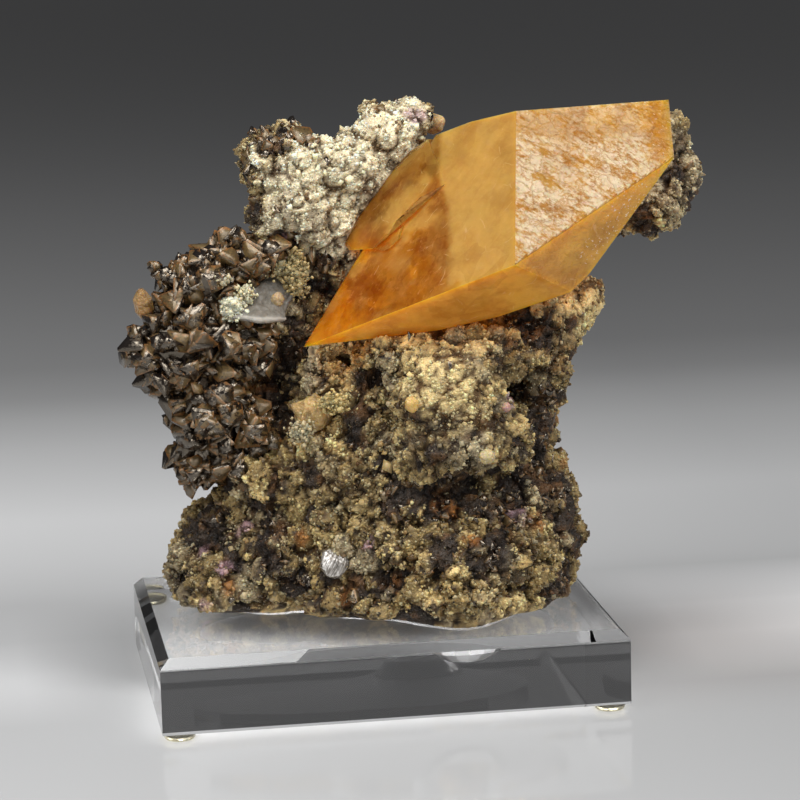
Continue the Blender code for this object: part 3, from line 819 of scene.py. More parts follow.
def calcite_etching(m, tint, etched):
    """Puts frosted streaks with a painted highlight, pits and painted glints over a tint. Gives the new tint,
    gloss and relief.
    """
    etching = m.along(ETCHING, ETCHING_STRETCH)
    veins = m.cells(2.4, "DISTANCE_TO_EDGE", vector=m.bent(etching, 3.0, 4.0))
    broad = m.math("MULTIPLY", m.noise(4.0, 3.0, 0.6, etching), 0.8)
    etched_and_highlit = m.span(m.math("ADD", m.noise(0.8, 6.0, 0.75, etching), broad), 0.77, 0.93)
    etched_and_highlit = m.math("MULTIPLY", etched_and_highlit, m.span(veins, 0.0, 0.07, 0.3, 1.0))
    etched_and_highlit = m.math("MULTIPLY", etched_and_highlit, m.attribute("frost", "Fac"))
    painted_glints = m.span(m.noise(0.6, 2.0, 0.5, etching), 0.62, 0.68)
    painted_glints = m.math("MULTIPLY", painted_glints, m.attribute("painted_glints", "Fac"))
    # Frosting, and a painted highlight, whiten the etched streaks
    tint = m.mix(m.math("MULTIPLY", etched_and_highlit, 0.9), tint, FROST_AND_HIGHLIGHT)
    pits = m.math("MULTIPLY", m.span(m.noise(1.3, 4.0, 0.6, etching), 0.42, 0.36), etched)
    tint = m.mix(m.math("MULTIPLY", pits, 0.6), tint, PITS)
    tint = m.mix(painted_glints, tint, PAINTED_GLINT_TINT)
    relief = m.math("MULTIPLY", m.noise(1.5, 6.0, 0.68, etching), etched)
    crests = m.math("MULTIPLY", m.span(veins, 0.0, 0.25), etched)
    soft = m.bump(m.noise(8.0, 3.0), 0.6, 0.25)
    normal = m.bump(crests, 0.6, 0.8, m.bump(relief, 1.3, 1.0, soft))
    return tint, m.math("MAXIMUM", etched_and_highlit, painted_glints), normal


def calcite_material(name, absorbed, density, lamps, reach):
    """Honey calcite: tinted glass over a milky body, clearer and more etched where the piece is marked so."""
    m = Nodes(name)
    etched = m.attribute("etched", "Fac")
    clear = m.attribute("clear", "Fac")
    tint = calcite_veils(m, m.span(clear, 0.1, 0.55, 0.28, 1.0))
    tint, gloss, normal = calcite_etching(m, tint, etched)
    m.set(Base_Color=tint, IOR=CALCITE_IOR, Specular_IOR_Level=0.4, Specular_Tint=CALCITE_GLOSS)
    m.set(Coat_Weight=gloss, Coat_Roughness=0.12, Coat_IOR=CALCITE_IOR)
    m.set(Normal=normal, Coat_Normal=normal)
    dull = m.math("MULTIPLY", m.attribute("dull", "Fac"), 0.5)
    m.set(Roughness=m.math("ADD", m.span(etched, 0.0, 1.0, 0.1, 0.3), dull))
    m.set(Transmission_Weight=m.span(clear, 0.0, 1.0, 0.1, 0.75))
    m.set(Subsurface_Weight=m.span(etched, 0.0, 1.0, 1.0, 0.45))
    m.set(Subsurface_Radius=CALCITE_SPREAD, Subsurface_Scale=reach)
    m.let_lamps_through(lamps)
    inside = m.add("ShaderNodeVolumeAbsorption", Color=(*absorbed, 1.0), Density=density)
    m.tree.links.new(inside.outputs["Volume"], m.output.inputs["Volume"])
    return m.material


def flake_material():
    """Healed cracks inside the crystal: milky gold with a gloss that catches the light."""
    m = Nodes("inner flakes")
    m.set(Base_Color=(0.95, 0.66, 0.25, 1.0), Roughness=0.25, IOR=1.9, Transmission_Weight=0.35)
    m.set(Normal=m.bump(m.noise(1.5, 4.0), 0.4, 0.8))
    return m.material


def cleavage_material():
    """A bright cleaved face with fine parallel steps, their shine painted as pale stripes in its colour."""
    m = Nodes("cleavage")
    lines = m.noise(0.55, 3.0, 0.6, m.along((0.55, 0.25, 0.8), 9.0))
    # Painted shine: pale stripes along the steps
    shine = m.span(m.math("ADD", lines, m.math("MULTIPLY", m.noise(2.2), 0.6)), 0.66, 0.9)
    m.set(Base_Color=m.mix(shine, (0.16, 0.14, 0.12), (0.72, 0.69, 0.65)), Metallic=0.6, Roughness=0.25)
    m.set(Normal=m.bump(lines, 0.5, 0.6, m.bump(m.noise(2.0, 3.0), 0.5, 0.4)))
    return m.material


def shell_material():
    """The smooth grey inside of a broken cavity, paler on its rim."""
    m = Nodes("grey shell")
    shade = m.mix(m.span(m.noise(2.5, 6.0, 0.7), 0.35, 0.65), (0.10, 0.085, 0.06), (0.25, 0.23, 0.20))
    m.set(Base_Color=m.mix(m.attribute("rim", "Fac"), shade, (0.42, 0.39, 0.34)), Roughness=0.5)
    m.set(Subsurface_Weight=0.2, Subsurface_Radius=GRAIN_SPREAD, Subsurface_Scale=1.0)
    m.set(Normal=m.bump(m.noise(0.8, 5.0, 0.7), 0.5, 0.9, m.bump(m.noise(3.0, 2.0), 1.2, 0.7)))
    return m.material


def clear_material(name, colour, roughness, ior):
    """Clear plastic that lamps shine through."""
    m = Nodes(name)
    m.set(Base_Color=(*colour, 1.0), Roughness=roughness, IOR=ior, Transmission_Weight=1.0)
    m.let_lamps_through((0.85, 0.85, 0.85))
    return m.material


# Settings


def colour_setting(name, *default):
    return FloatVectorProperty(
        name=name, description=name + ", linear", subtype="COLOR", default=default, min=0, max=1,
    )


def length_setting(name, description, default):
    return FloatProperty(name=name, description=description, default=default * MM, unit="LENGTH", precision=5)


def count_setting(name, description, default):
    return IntProperty(name=name, description=description, default=default, min=0)


def power_setting(name, description, default):
    return FloatProperty(name=name, description=description, default=default, unit="POWER")


class SpecimenSettings(bpy.types.PropertyGroup):
    """Sizes and colours of the specimen that a user would change."""

    rock_cell: length_setting("Rock cell", "Edge of the rock surface's faces", 0.85)
    clump_height: length_setting("Clump height", "How far the crust's clumps stand out", 1.5)
    grain_height: length_setting("Grain height", "How far the crust's grains stand out", 0.5)
    knob_count: count_setting("Knobs", "Knobs of crust on the rock", 4200)
    grain_count: count_setting("Grains", "Loose calcite grains on the rock and its knobs", 65142)
    rhomb_count: count_setting("Rhombs", "Larger calcite crystals on the rock and its knobs", 700)
    blade_count: count_setting("Blades", "Sphalerite crystals in the cluster", 1250)
    cream: colour_setting("Cream crust", 0.97, 0.84, 0.57)
    sand: colour_setting("Sandy crust", 0.66, 0.485, 0.215)
    olive: colour_setting("Olive crust", 0.32, 0.225, 0.09)
    grey: colour_setting("Grey crust", 0.44, 0.365, 0.235)
    beige: colour_setting("Beige crust", 0.80, 0.61, 0.29)
    # Dark rock, also used as painted shade in the crevices that the dark marks cover
    umber: colour_setting("Dark rock", 0.040, 0.027, 0.018)
    stain: colour_setting("Stained dark rock", 0.11, 0.055, 0.02)
    rust: colour_setting("Rust", 0.28, 0.11, 0.022)
    purple: colour_setting("Purple", 0.46, 0.29, 0.33)
    sphalerite: colour_setting("Sphalerite", 0.012, 0.009, 0.008)
    tan_coat: colour_setting("Tan coat", 0.22, 0.14, 0.045)
    brown_coat: colour_setting("Brown coat", 0.048, 0.028, 0.009)
    honey: colour_setting("Honey calcite", 0.61, 0.38, 0.10)
    amber: colour_setting("Amber calcite", 0.60, 0.275, 0.014)
    # Painted glow: light gathered in the tips and along the edges, painted into the colour
    painted_glow: colour_setting("Glow in the tips", 1.0, 0.52, 0.02)
    # Painted light: the lower faces are tinted lighter, as if light from the floor fell on them
    painted_underside_light: colour_setting("Lower faces", 0.97, 0.60, 0.10)
    shadowed: colour_setting("Shadowed calcite", 0.54, 0.31, 0.045)
    absorption: FloatProperty(
        name="Absorption", description="Density of the amber tint, per metre", default=22.0, min=0,
    )
    floor: colour_setting("Floor", 0.47, 0.472, 0.475)
    room: colour_setting("Room", 0.055, 0.055, 0.056)
    key_power: power_setting("Key light", "Power of the overhead softbox", 8.0)
    fill_power: power_setting("Fill light", "Power of the side softboxes", 5.5)
    focal_length: FloatProperty(
        name="Focal length", description="Camera lens for a sensor 36 mm wide", default=146.75, unit="CAMERA",
    )


# Rock


def pale_crust(points, settings, clump_numbers, grain_numbers):
    """Colour of the pale crust: the clumps' numbers mix sand, olive and grey, and grains mottle them."""
    olive = smoothstep(clump_numbers[:, 1] * 1.3 + 0.4 * smooth_noise(points, 4.0, 95) - 0.1)
    sand = blend(settings.sand, settings.olive, olive)
    sand = blend(sand, settings.grey, smoothstep((clump_numbers[:, 2] - 0.72) * 6) * 0.7)
    sand = sand * (0.72 + 0.56 * grain_numbers[:, 1])[:, None]
    zone = 0.86 + 0.34 * smooth_noise(points, 13.0, 97) + 0.12 * smooth_noise(points, 5.0, 98)
    sand = sand * zone[:, None]
    beige = np.array(settings.beige) * (0.85 + 0.3 * grain_numbers[:, 1:2])
    return blend(sand, beige, patch(points, BEIGE_MARKS, 0.5, seed=99) * 0.85)


def crust(points, settings):
    """Height, colour and darkness of the crust at points in millimetres.

    Clumps are cells: a dome that falls with the distance to the cell's middle, and a plane tilted by the
    cell's own numbers, down to a crevice where the two nearest middles are equally far. Grains are the same,
    smaller and without the crevice. Two sizes of ridges and a slow swell are added, less on the smooth parts.
    A cell is dark where its number is under the share of dark cells there. Pale crust is mixed with the other
    colours by the marks, then darkened by painted shade in its hollows and lightened a little by painted
    light on its heights. The cream crust is painted lighter towards the top.
    """
    dark = patch(points, DARK_MARKS, seed=21)
    cream = patch(points, CREAM_MARKS, seed=31) * (1 - dark)
    smooth = np.maximum(patch(points, SMOOTH_MARKS, 0.2, seed=41), 0.6 * cream)
    bent = points + CRUST_BEND * noise_vectors(points, 3.0, (61, 62, 63))
    near, second, away, clump_numbers = grains(bent, CLUMP_SIZE, 71)
    tilt = (away * (2 * clump_numbers - 1)).sum(axis=1)
    clump = 0.85 - near + 0.8 * tilt - 0.8 * (1 - smoothstep((second - near) * 4))
    near, _, away, grain_numbers = grains(bent, CRUST_GRAIN_SIZE, 81)
    tilt = (away * (2 * grain_numbers - 1)).sum(axis=1)
    grain = 0.5 - near + 1.6 * tilt
    share = np.clip(0.24 + 0.75 * dark - 0.14 * cream - 0.24 * smooth, 0.0, 1.0)
    is_dark = smoothstep((share - clump_numbers[:, 0]) * 6 + 0.5)
    speck = smoothstep((0.4 * share + 0.05 - grain_numbers[:, 0]) * 9 + 0.5) * (1 - 0.8 * smooth)
    darkness = np.maximum(is_dark, speck * 0.9)
    crests = 1.1 * ridges(points, 4.2, 93) + 0.6 * ridges(points, 1.9, 94)
    height = (
        settings.clump_height / MM * clump * (1 - 0.72 * smooth) * (1 - 0.4 * is_dark)
        + settings.grain_height / MM * grain * (1 - 0.5 * smooth)
        + 1.6 * smooth_noise(points, 9.0, 91) + crests * (1 - 0.75 * smooth) - 0.8 * is_dark
    )
    # Painted light: the cream crust gets lighter towards the top, as if more light fell there
    painted_top_light = 0.8 + 0.22 * smoothstep((points[:, 2] - 130.0) / 14.0)
    cream_tint = np.array(settings.cream) * (0.8 + 0.35 * grain_numbers[:, 1:2]) * painted_top_light[:, None]
    colour = blend(pale_crust(points, settings, clump_numbers, grain_numbers), cream_tint, cream)
    colour = blend(colour, settings.grey, patch(points, GREY_MARKS, seed=51) * 0.8)
    # Painted shade from the shade marks
    colour = colour * (1 - 0.4 * patch(points, SHADE_MARKS, 0.5, seed=103))[:, None]
    stained = blend(settings.umber, settings.stain, smoothstep(smooth_noise(points, 2.6, 96) * 1.6))
    # Dark rock, and painted shade where the dark marks lie in crevices
    colour = blend(colour, stained, darkness)
    colour = blend(colour, settings.rust, patch(points, RUST_MARKS, 0.6, seed=101) * 0.8)
    colour = blend(colour, settings.purple, patch(points, PURPLE_MARKS, 0.6, seed=111) * 0.75)
    # Painted shade and light: hollows are darkened and heights lightened by how raised the crust is
    raised = smoothstep(0.8 + 0.9 * clump) * smoothstep(0.85 + 0.6 * grain)
    return height, colour * blend(PAINTED_HOLLOW_SHADE, PAINTED_CREST_LIGHT, raised), darkness


def fade_in(gap, fade):
    """0 up to the gap where a fade starts, 1 past its end, and smooth between."""
    start, over = fade
    return smoothstep((gap - start) / over)


def make_rock(settings):
    """The matrix node's shape, remeshed fine and moved along its normals by the height of the crust."""
    piece = node_copy("matrix", "rock")
    fine = piece.modifiers.new("fine", "REMESH")
    fine.mode = "VOXEL"
    fine.voxel_size = settings.rock_cell
    even = piece.modifiers.new("even", "SMOOTH")
    even.factor = 0.5
    even.iterations = 5
    bake(piece)
    mesh = piece.data
    corners, normals = corners_of(mesh), normals_of(mesh)
    points = in_mm(corners)
    height, colour, _ = crust(points, settings)
    free = fade_in(points[:, 2] - BLOCK_TOP, BLOCK_FADE)
    free = free * fade_in(clearance(corners, CRYSTALS), CRYSTAL_FADE)
    set_corners(mesh, corners + normals * (height * free * MM)[:, None])
    set_colour(mesh, "tint", colour)
    return hand_over(piece, rock_material(), "druse", "matrix")


def on_rock(mesh, count, gap, rng):
    """Random places on a mesh that are clear of the block and the crystals, with normals and millimetres."""
    places, normals = sample_surface(mesh, count, rng)
    points = in_mm(places)
    keep = (points[:, 2] > BLOCK_TOP + 1.2 + gap) & (clearance(places, CRYSTALS) > gap)
    return places[keep], normals[keep], points[keep]


def first_kept(keep, count, *arrays):
    """The first of the kept rows of each array."""
    return [array[keep][:count] for array in arrays]


def make_knobs(settings, rock):
    """Knobs of crust: rough convex lumps of random points, thick on pale rock and thin on smooth parts."""
    rng = np.random.default_rng(3)
    places, normals, points = on_rock(rock.data, settings.knob_count * 2, 1.6, rng)
    _, colour, dark = crust(points, settings)
    smooth = np.maximum(patch(points, SMOOTH_MARKS, 0.2, seed=41), 0.6 * patch(points, CREAM_MARKS, seed=31))
    keep = rng.random(len(points)) > np.maximum(dark * 0.75, smooth * 0.85)
    count = settings.knob_count
    places, normals, colour, smooth = first_kept(keep, count, places, normals, colour, smooth)
    lumps = rng.normal(size=(KNOB_KINDS, KNOB_POINTS, 3))
    lumps /= np.linalg.norm(lumps, axis=2, keepdims=True)
    size = np.exp(rng.normal(0.0, 0.38, len(places))) * (1 - 0.5 * smooth) * KNOB_SIZE * MM
    stretch = size[:, None] * rng.uniform(0.65, 1.3, (len(places), 3))
    rotations = turns(normals + rng.normal(0, 0.6, normals.shape), rng)
    tint = np.clip(colour * rng.uniform(0.9, 1.25, (len(places), 1)), 0, 0.9)
    kind = rng.integers(0, KNOB_KINDS, len(places))
    templates = [hull_template(lump) for lump in lumps]
    sunk = places - normals * KNOB_SUNK * size[:, None]
    piece = copies("crust_knobs", templates, kind, sunk, rotations, stretch, tint)
    return hand_over(piece, rock.data.materials[0], "druse")


def make_grains(settings, rock, knobs):
    """Calcite grains: double pyramids, blocks and rhombs, stretched and leaning, on rock and knobs."""
    rng = np.random.default_rng(5)
    material = grain_material()
    grounds = {"rock": rock.data, "knobs": knobs.data}
    templates = [hull_template(points) for points in (point_points(1.2), block_points(0.7), rhomb_points())]
    pieces = [(*row, settings.grain_count // len(SUGAR), SUGAR_KINDS) for row in SUGAR]
    pieces += [(*row, settings.rhomb_count // len(RHOMBS), RHOMB_KINDS) for row in RHOMBS]
    for name, ground, size, spread, count, kinds in pieces:
        places, normals, points = on_rock(grounds[ground], count * 2, size, rng)
        _, colour, dark = crust(points, settings)
        keep = rng.random(len(points)) > dark * 0.9
        places, normals, colour = first_kept(keep, count, places, normals, colour)
        sizes = np.exp(rng.normal(0, spread, len(places))) * size * MM
        stretch = sizes[:, None] * rng.uniform(0.6, 1.35, (len(places), 3))
        rotations = turns(normals + rng.normal(0, 0.8, normals.shape), rng)
        pale = rng.random((len(places), 1)) ** 4
        tint = np.clip(colour * rng.uniform(0.9, 1.4, (len(places), 1)), 0, 0.85)
        tint = tint * (1 - 0.4 * pale) + np.array(PALE_GRAIN) * 0.4 * pale
        kind = rng.choice(kinds, len(places))
        hand_over(copies(name, templates, kind, places, rotations, stretch, tint), material, "druse")


def along_edge(points, share):
    """Places at shares of the way along the cubic curve that passes its four points at 0, 1/3, 2/3 and 1.

    The four weights are those of a Bezier curve, whose middle controls are worked out from the four points.
    """
    p = np.array(points, float)
    t = np.asarray(share)[..., None]
    weights = (1 - t) ** 3, 3 * t * (1 - t) ** 2, 3 * t**2 * (1 - t), t**3
    early = (-5 * p[0] + 18 * p[1] - 9 * p[2] + 2 * p[3]) / 6
    late = (2 * p[0] - 9 * p[1] + 18 * p[2] - 5 * p[3]) / 6
    return weights[0] * p[0] + weights[1] * early + weights[2] * late + weights[3] * p[3]


def make_shell():
    """The smooth grey shell of a broken cavity at the upper left.

    A grid of share across and share up. Its four edges are curves, and the inside blends each pair of them
    across and takes off the blend of the corners. Then it is pushed back by a parabola of both shares, and
    value noise wavers it.
    """
    across, up = np.meshgrid(np.linspace(0, 1, 61), np.linspace(0, 1, 49), indexing="ij")
    low, high = along_edge(SHELL_LOW, across), along_edge(SHELL_HIGH, across)
    left, right = along_edge(SHELL_LEFT, up), along_edge(SHELL_RIGHT, up)
    low_left, low_right, high_left, high_right = (
        np.array(corner, float) for corner in (SHELL_LOW[0], SHELL_LOW[3], SHELL_HIGH[0], SHELL_HIGH[3])
    )
    u, v = across[..., None], up[..., None]
    blended = (1 - u) * ((1 - v) * low_left + v * high_left) + u * ((1 - v) * low_right + v * high_right)
    points = ((1 - v) * low + v * high + (1 - u) * left + u * right - blended).reshape(-1, 3)
    hollow = (16 * across * (1 - across) * up * (1 - up)).ravel() ** 0.7
    fold = np.exp(-(((across - 0.42) / 0.1) ** 2)).ravel() * (1 - up.ravel())
    far = np.maximum(smoothstep((up - 0.55) / 0.4), smoothstep((across - 0.6) / 0.4)).ravel()
    points[:, 1] += 5.0 * hollow - 1.8 * fold + 3.5 * far
    points += noise_vectors(points, 4.5, (8, 9, 10)) * (0.5, 1.3, 0.5)
    points[:, 1] += 0.5 * smooth_noise(points, 1.6, 11)
    mesh = new_mesh("shell", place(points), grid_faces(*across.shape))
    set_number(mesh, "rim", smoothstep((0.05 - up.ravel()) / 0.03))
    piece = new_object("grey_shell", mesh)
    thick = piece.modifiers.new("thick", "SOLIDIFY")
    thick.thickness = SHELL_WALL * MM
    thick.offset = 1
    bake(piece)
    piece.data.shade_smooth()
    return hand_over(piece, shell_material(), "druse")


def make_balls():
    """Rounded calcite balls on the rock: spheres from two angles, roughened by value noise."""
    polar, turn = np.meshgrid(np.linspace(0, math.pi, 17), np.linspace(0, math.tau, 25), indexing="ij")
    unit = np.stack([np.sin(polar) * np.cos(turn), np.sin(polar) * np.sin(turn), np.cos(polar)], axis=2)
    unit = unit.reshape(-1, 3)
    material = calcite_material("pale calcite balls", PALE_ABSORBED, 20.0, PALE_LAMPS, 0.15)
    for number, (centre, radii, tint) in enumerate(BALLS):
        bumpy = 1 + 0.10 * smooth_noise(unit, 0.55, number + 3)
        points = unit * bumpy[:, None] * np.array(radii) + centre
        piece = new_object(f"ball_{number + 1}", new_mesh("ball", place(points), grid_faces(*polar.shape)))
        close_seam(piece)
        set_colour(piece.data, "tint", np.tile(tint, (len(piece.data.vertices), 1)))
        mark_evenly(piece.data, etched=0.35, clear=0.2, frost=0.05)
        piece.data.shade_smooth()
        hand_over(piece, material, "pale_calcite")


# Sphalerite


def blades(name, places, normals, size, templates, rng):
    """Cut tetrahedra, flattened and leaning off the surface, with a coat on some of their faces."""
    rotations = turns(normals + rng.normal(0, BLADE_LEAN, normals.shape), rng)
    stretch = size[:, None] * rng.uniform((0.8, 0.6, 0.8), (1.3, 1.1, 1.3), (len(places), 3))
    kind = rng.integers(0, len(templates), len(places))
    corners, faces, owners = gather(templates, kind, places, rotations, stretch)
    coats, tones, rims = [], [], []
    for own, (_, triangles, sides, rim) in zip(owners, templates):
        which = np.repeat(own, len(triangles))
        side = np.stack([which, np.tile(sides, len(own)), which * 0], axis=1)
        blade = np.stack([which, which, which], axis=1)
        coats.append(0.65 * lattice(side, 5) + 0.35 * lattice(blade, 9))
        tones.append(0.5 * lattice(side, 13) + 0.5 * lattice(blade, 19))
        rims.append(np.tile(rim, len(own)))
    mesh = new_mesh(name, corners, faces)
    set_number(mesh, "coat", np.concatenate(coats), "FACE")
    set_number(mesh, "tone", np.concatenate(tones), "FACE")
    set_number(mesh, "rim", np.concatenate(rims))
    return new_object(name, mesh)


def make_sphalerite(settings, rock):
    """The dark cluster: the CAD cluster's shape under a crust of blades, and smaller blades on the rock."""
    rng = np.random.default_rng(17)
    material = sphalerite_material(settings)
    templates = [hull_template(tetrahedron_cut(cut), middles=True) for cut in BLADE_CUTS]
    core = node_copy("sphalerite_cluster", "sphalerite_core")
    set_corners(core.data, corners_of(core.data) - normals_of(core.data) * CORE_DEPTH * MM)
    count = len(core.data.polygons)
    set_number(core.data, "coat", np.zeros(count), "FACE")
    set_number(core.data, "tone", np.zeros(count), "FACE")
    mark_evenly(core.data, rim=0.0)
    hand_over(core, material, "sphalerite", "sphalerite_cluster")
    places, normals = sample_surface(core.data, settings.blade_count, rng)
    keep = clearance(places, CRYSTALS) > BLADE_GAP
    places, normals = places[keep], normals[keep]
    size = np.clip(np.exp(rng.normal(1.12, 0.38, len(places))), 1.3, 5.6) * MM
    crown = blades("sphalerite_blades", places + normals * 0.1 * size[:, None], normals, size, templates, rng)
    hand_over(crown, material, "sphalerite")
    places, normals, points = on_rock(rock.data, ROCK_BLADES_TRIED, 1.8, rng)
    dark = patch(points, DARK_MARKS, seed=21)
    upper = points[:, 2] > UPPER_LUMP
    keep = rng.random(len(points)) < dark * np.where(upper, 0.55, 0.36) + 0.008
    places, normals = places[keep], normals[keep]
    size = np.clip(np.exp(rng.normal(0.25, 0.42, len(places))), 0.5, 3.0)
    size = size * np.where(upper[keep], 1.6, 1.0) * MM
    sunk = places - normals * 0.3 * size[:, None]
    small = blades("sphalerite_on_rock", sunk, normals, size, templates, rng)
    hand_over(small, material, "sphalerite")


def make_crumbs():
    """Loose crumbs in small heaps: blocks at random places in ellipsoids, thick in their middles."""
    rng = np.random.default_rng(37)
    template = hull_template(block_points(0.7))
    places, tints = [], []
    for middle, radii, tint, count in CRUMBS:
        spread = rng.normal(0.0, 0.42, (count, 3))
        places.append(np.array(middle) + spread * radii)
        tints.append(np.array(tint) * rng.uniform(0.75, 1.2, (count, 1)))
    places, tints = np.concatenate(places), np.clip(np.concatenate(tints), 0, 0.9)
    size = np.exp(rng.normal(-1.3, 0.4, (len(places), 1))) * rng.uniform(0.6, 1.3, (len(places), 3)) * MM
    rotations = turns(rng.normal(size=(len(places), 3)), rng)
    piece = copies("crumbs", [template], np.zeros(len(places)), place(places), rotations, size, tints)
    hand_over(piece, bpy.data.materials["druse grains"], "druse")


def make_cleavage():
    """The bright cleaved crystal low on the rock's front: a prism whose points are pushed about at random."""
    outline = np.array(prism_points(7, 0.8))
    pushed = np.random.default_rng(43).uniform((0.7, 0.7, 1), (1.15, 1.15, 1), outline.shape)
    corners, triangles = hull_template(outline * pushed)[:2]
    middle, size = CLEAVAGE
    turn = Matrix.Rotation(math.radians(20), 3, "Y") @ Matrix.Rotation(math.radians(60), 3, "X")
    points = (corners * size) @ np.array(turn).T + middle
    piece = new_object("cleavage", new_mesh("cleavage", place(points), triangles))
    soft_edges(piece, 0.3)
    return hand_over(piece, cleavage_material(), "sphalerite")


# Calcite


def soft_edges(piece, width, angle=12):
    """Rounds a faceted piece's sharp edges."""
    soft = piece.modifiers.new("soft edges", "BEVEL")
    soft.width = width * MM
    soft.segments = 2
    soft.limit_method = "ANGLE"
    soft.angle_limit = math.radians(angle)
    return bake(piece)


def refine(piece, longest):
    """Splits a faceted solid's edges in half until none is longer than a length. Flat faces stay flat."""
    shape = bmesh.new()
    shape.from_mesh(piece.data)
    long_edges = [edge for edge in shape.edges if edge.calc_length() > longest * MM]
    while long_edges:
        bmesh.ops.subdivide_edges(shape, edges=long_edges, cuts=1, use_grid_fill=True)
        bmesh.ops.triangulate(shape, faces=[face for face in shape.faces if len(face.verts) > 4])
        long_edges = [edge for edge in shape.edges if edge.calc_length() > longest * MM]
    shape.to_mesh(piece.data)
    shape.free()


def edge_gap(points, mesh, angle=14):
    """Distance in millimetres from points to the nearest sharp edge of a faceted mesh."""
    shape = bmesh.new()
    shape.from_mesh(mesh)
    bmesh.ops.remove_doubles(shape, verts=shape.verts, dist=MERGE_WITHIN)
    sharp = [e for e in shape.edges if len(e.link_faces) == 2 and e.calc_face_angle() > math.radians(angle)]
    ends = np.array([[in_mm(np.array(vertex.co)) for vertex in edge.verts] for edge in sharp])
    shape.free()
    least = np.full(len(points), np.inf)
    for start, stop in ends:
        edge = stop - start
        along = np.clip((points - start) @ edge / (edge @ edge), 0, 1)
        least = np.minimum(least, np.linalg.norm(points - start - along[:, None] * edge, axis=1))
    return least


def facing(normals, direction, match):
    """1 where a normal follows a direction well enough, 0 where it doesn't, and smooth between."""
    return fade_in(normals @ np.array(direction), match)


def crystal_parts(points, normals):
    """How far each point belongs to each part of the large crystal, as arrays of numbers in 0..1 by name."""
    across = points @ np.array(ACROSS)
    left = facing(normals, LEFT_NORMAL, FACE_MATCH)
    fading = 2.0 + 3.0 * smoothstep((132 - points[:, 2]) / 12)
    pale = left * smoothstep((across - PALE_FROM + 0.8 * smooth_noise(points, 5.0, 203)) / fading)
    return {
        "left": left,
        "etched": facing(normals, ETCHED_NORMAL, FACE_MATCH) * (across > ETCHED_FROM),
        "lower": facing(normals, LOWER_NORMAL, LOWER_MATCH),
        "pale": np.maximum(pale, 0.75 * patch(points, PALE_MARKS, 0.4, seed=201)),
        "upper": smoothstep((points[:, 2] - 142.0 + 0.9 * smooth_noise(points, 4.0, 205)) / 2.0),
        "right_end": smoothstep((points[:, 0] - 66.0 + 2.0 * smooth_noise(points, 5.0, 206)) / 5.0),
        "edge": 1 - fade_in(edge_gap(points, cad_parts["calcite_crystal"].data), (0.3, 1.3)),
        "under": smoothstep((0.12 - normals[:, 2]) / 0.1),
        # The step's upper faces, later darkened by painted shade in its groove
        "step": (1 - left) * (across < STEP_TO) * (normals[:, 2] > 0.15),
        "painted_glow": patch(points, PAINTED_GLOW_MARKS, 0.7, seed=221),
    }


def crystal_tint(points, part, settings):
    """The crystal's colour: amber and honey in clouds, with the parts' and marks' tints blended over, some of
    them painted light and shade.
    """
    amber, honey = np.array(settings.amber), np.array(settings.honey)
    cloud = smoothstep(0.5 + 0.8 * smooth_noise(points, 11.0, 207) + 0.5 * smooth_noise(points, 4.5, 208))
    colour = blend(blend(amber, honey, 0.3 + 0.5 * cloud), honey, part["pale"] * 0.9)
    mottle = 1 + 0.07 * smooth_noise(points, 6.0, 209) + 0.05 * smooth_noise(points, 2.0, 210)
    colour = colour * mottle[:, None]
    deep = patch(points, AMBER_MARKS, 0.5, seed=211)
    # Painted shade: the darker olive patch on the lower right face
    olive = patch(points, OLIVE_MARKS, 0.4, seed=223) * (1 - part["etched"]) * (1 - part["left"])
    for tint, amount in (
        (amber, part["etched"] * 0.35),
        (amber * 0.9, deep * 0.75),
        (amber, part["etched"] * np.maximum(0.7 * part["upper"], part["right_end"])),
        # Painted glow along the edges
        (settings.painted_glow, part["edge"] * 0.4 * (1 - 0.8 * part["left"]) * (1 - 0.5 * part["etched"])),
        # Painted light on the lower faces
        (settings.painted_underside_light, part["under"] * 0.75),
        (settings.shadowed, olive * 0.6),
        # Painted glow on the lower edges
        (settings.painted_glow, part["under"] * part["edge"] * 0.6),
        # Painted shade in the groove along the step
        (amber * 0.55, part["step"] * 0.9),
        # Painted glow in the glow marks
        (settings.painted_glow, part["painted_glow"] * 0.9),
    ):
        colour = blend(colour, tint, amount)
    return colour


def make_calcite(settings):
    """The large crystal: the CAD solid with soft edges, divided, tinted and marked for its material."""
    piece = node_copy("calcite_crystal", "calcite")
    soft_edges(piece, 0.4)
    refine(piece, 1.3)
    mesh = piece.data
    points = in_mm(corners_of(mesh))
    part = crystal_parts(points, normals_of(mesh))
    set_colour(mesh, "tint", crystal_tint(points, part, settings))
    even = 0.85 + 0.25 * smooth_noise(points, 7.0, 214) + 0.2 * patch(points, FROST_AND_HIGHLIGHT_MARKS, 0.5, seed=217)
    # Painted glints, also over the right end
    painted_glints = np.maximum(patch(points, PAINTED_GLINT_MARKS, 0.5, seed=219), 0.5 * part["right_end"])
    clear = 0.8 - 0.6 * part["pale"] - 0.45 * part["etched"] + 0.2 * part["painted_glow"]
    for name, numbers in (
        ("etched", part["etched"] + 0.35 * part["lower"] + part["step"] + 0.05),
        ("frost", part["etched"] * even * (1 - 0.45 * part["upper"]) * (1 - 0.7 * part["right_end"])),
        ("clear", clear - 0.5 * part["under"]),
        ("dull", part["step"]),
        ("painted_glints", painted_glints * (1 - part["left"])),
    ):
        set_number(mesh, name, np.clip(numbers, 0, 1))
    material = calcite_material("amber calcite", settings.amber, settings.absorption, AMBER_LAMPS, 1.1)
    hand_over(piece, material, "amber_calcite", "calcite_crystal")
    make_flakes(piece)


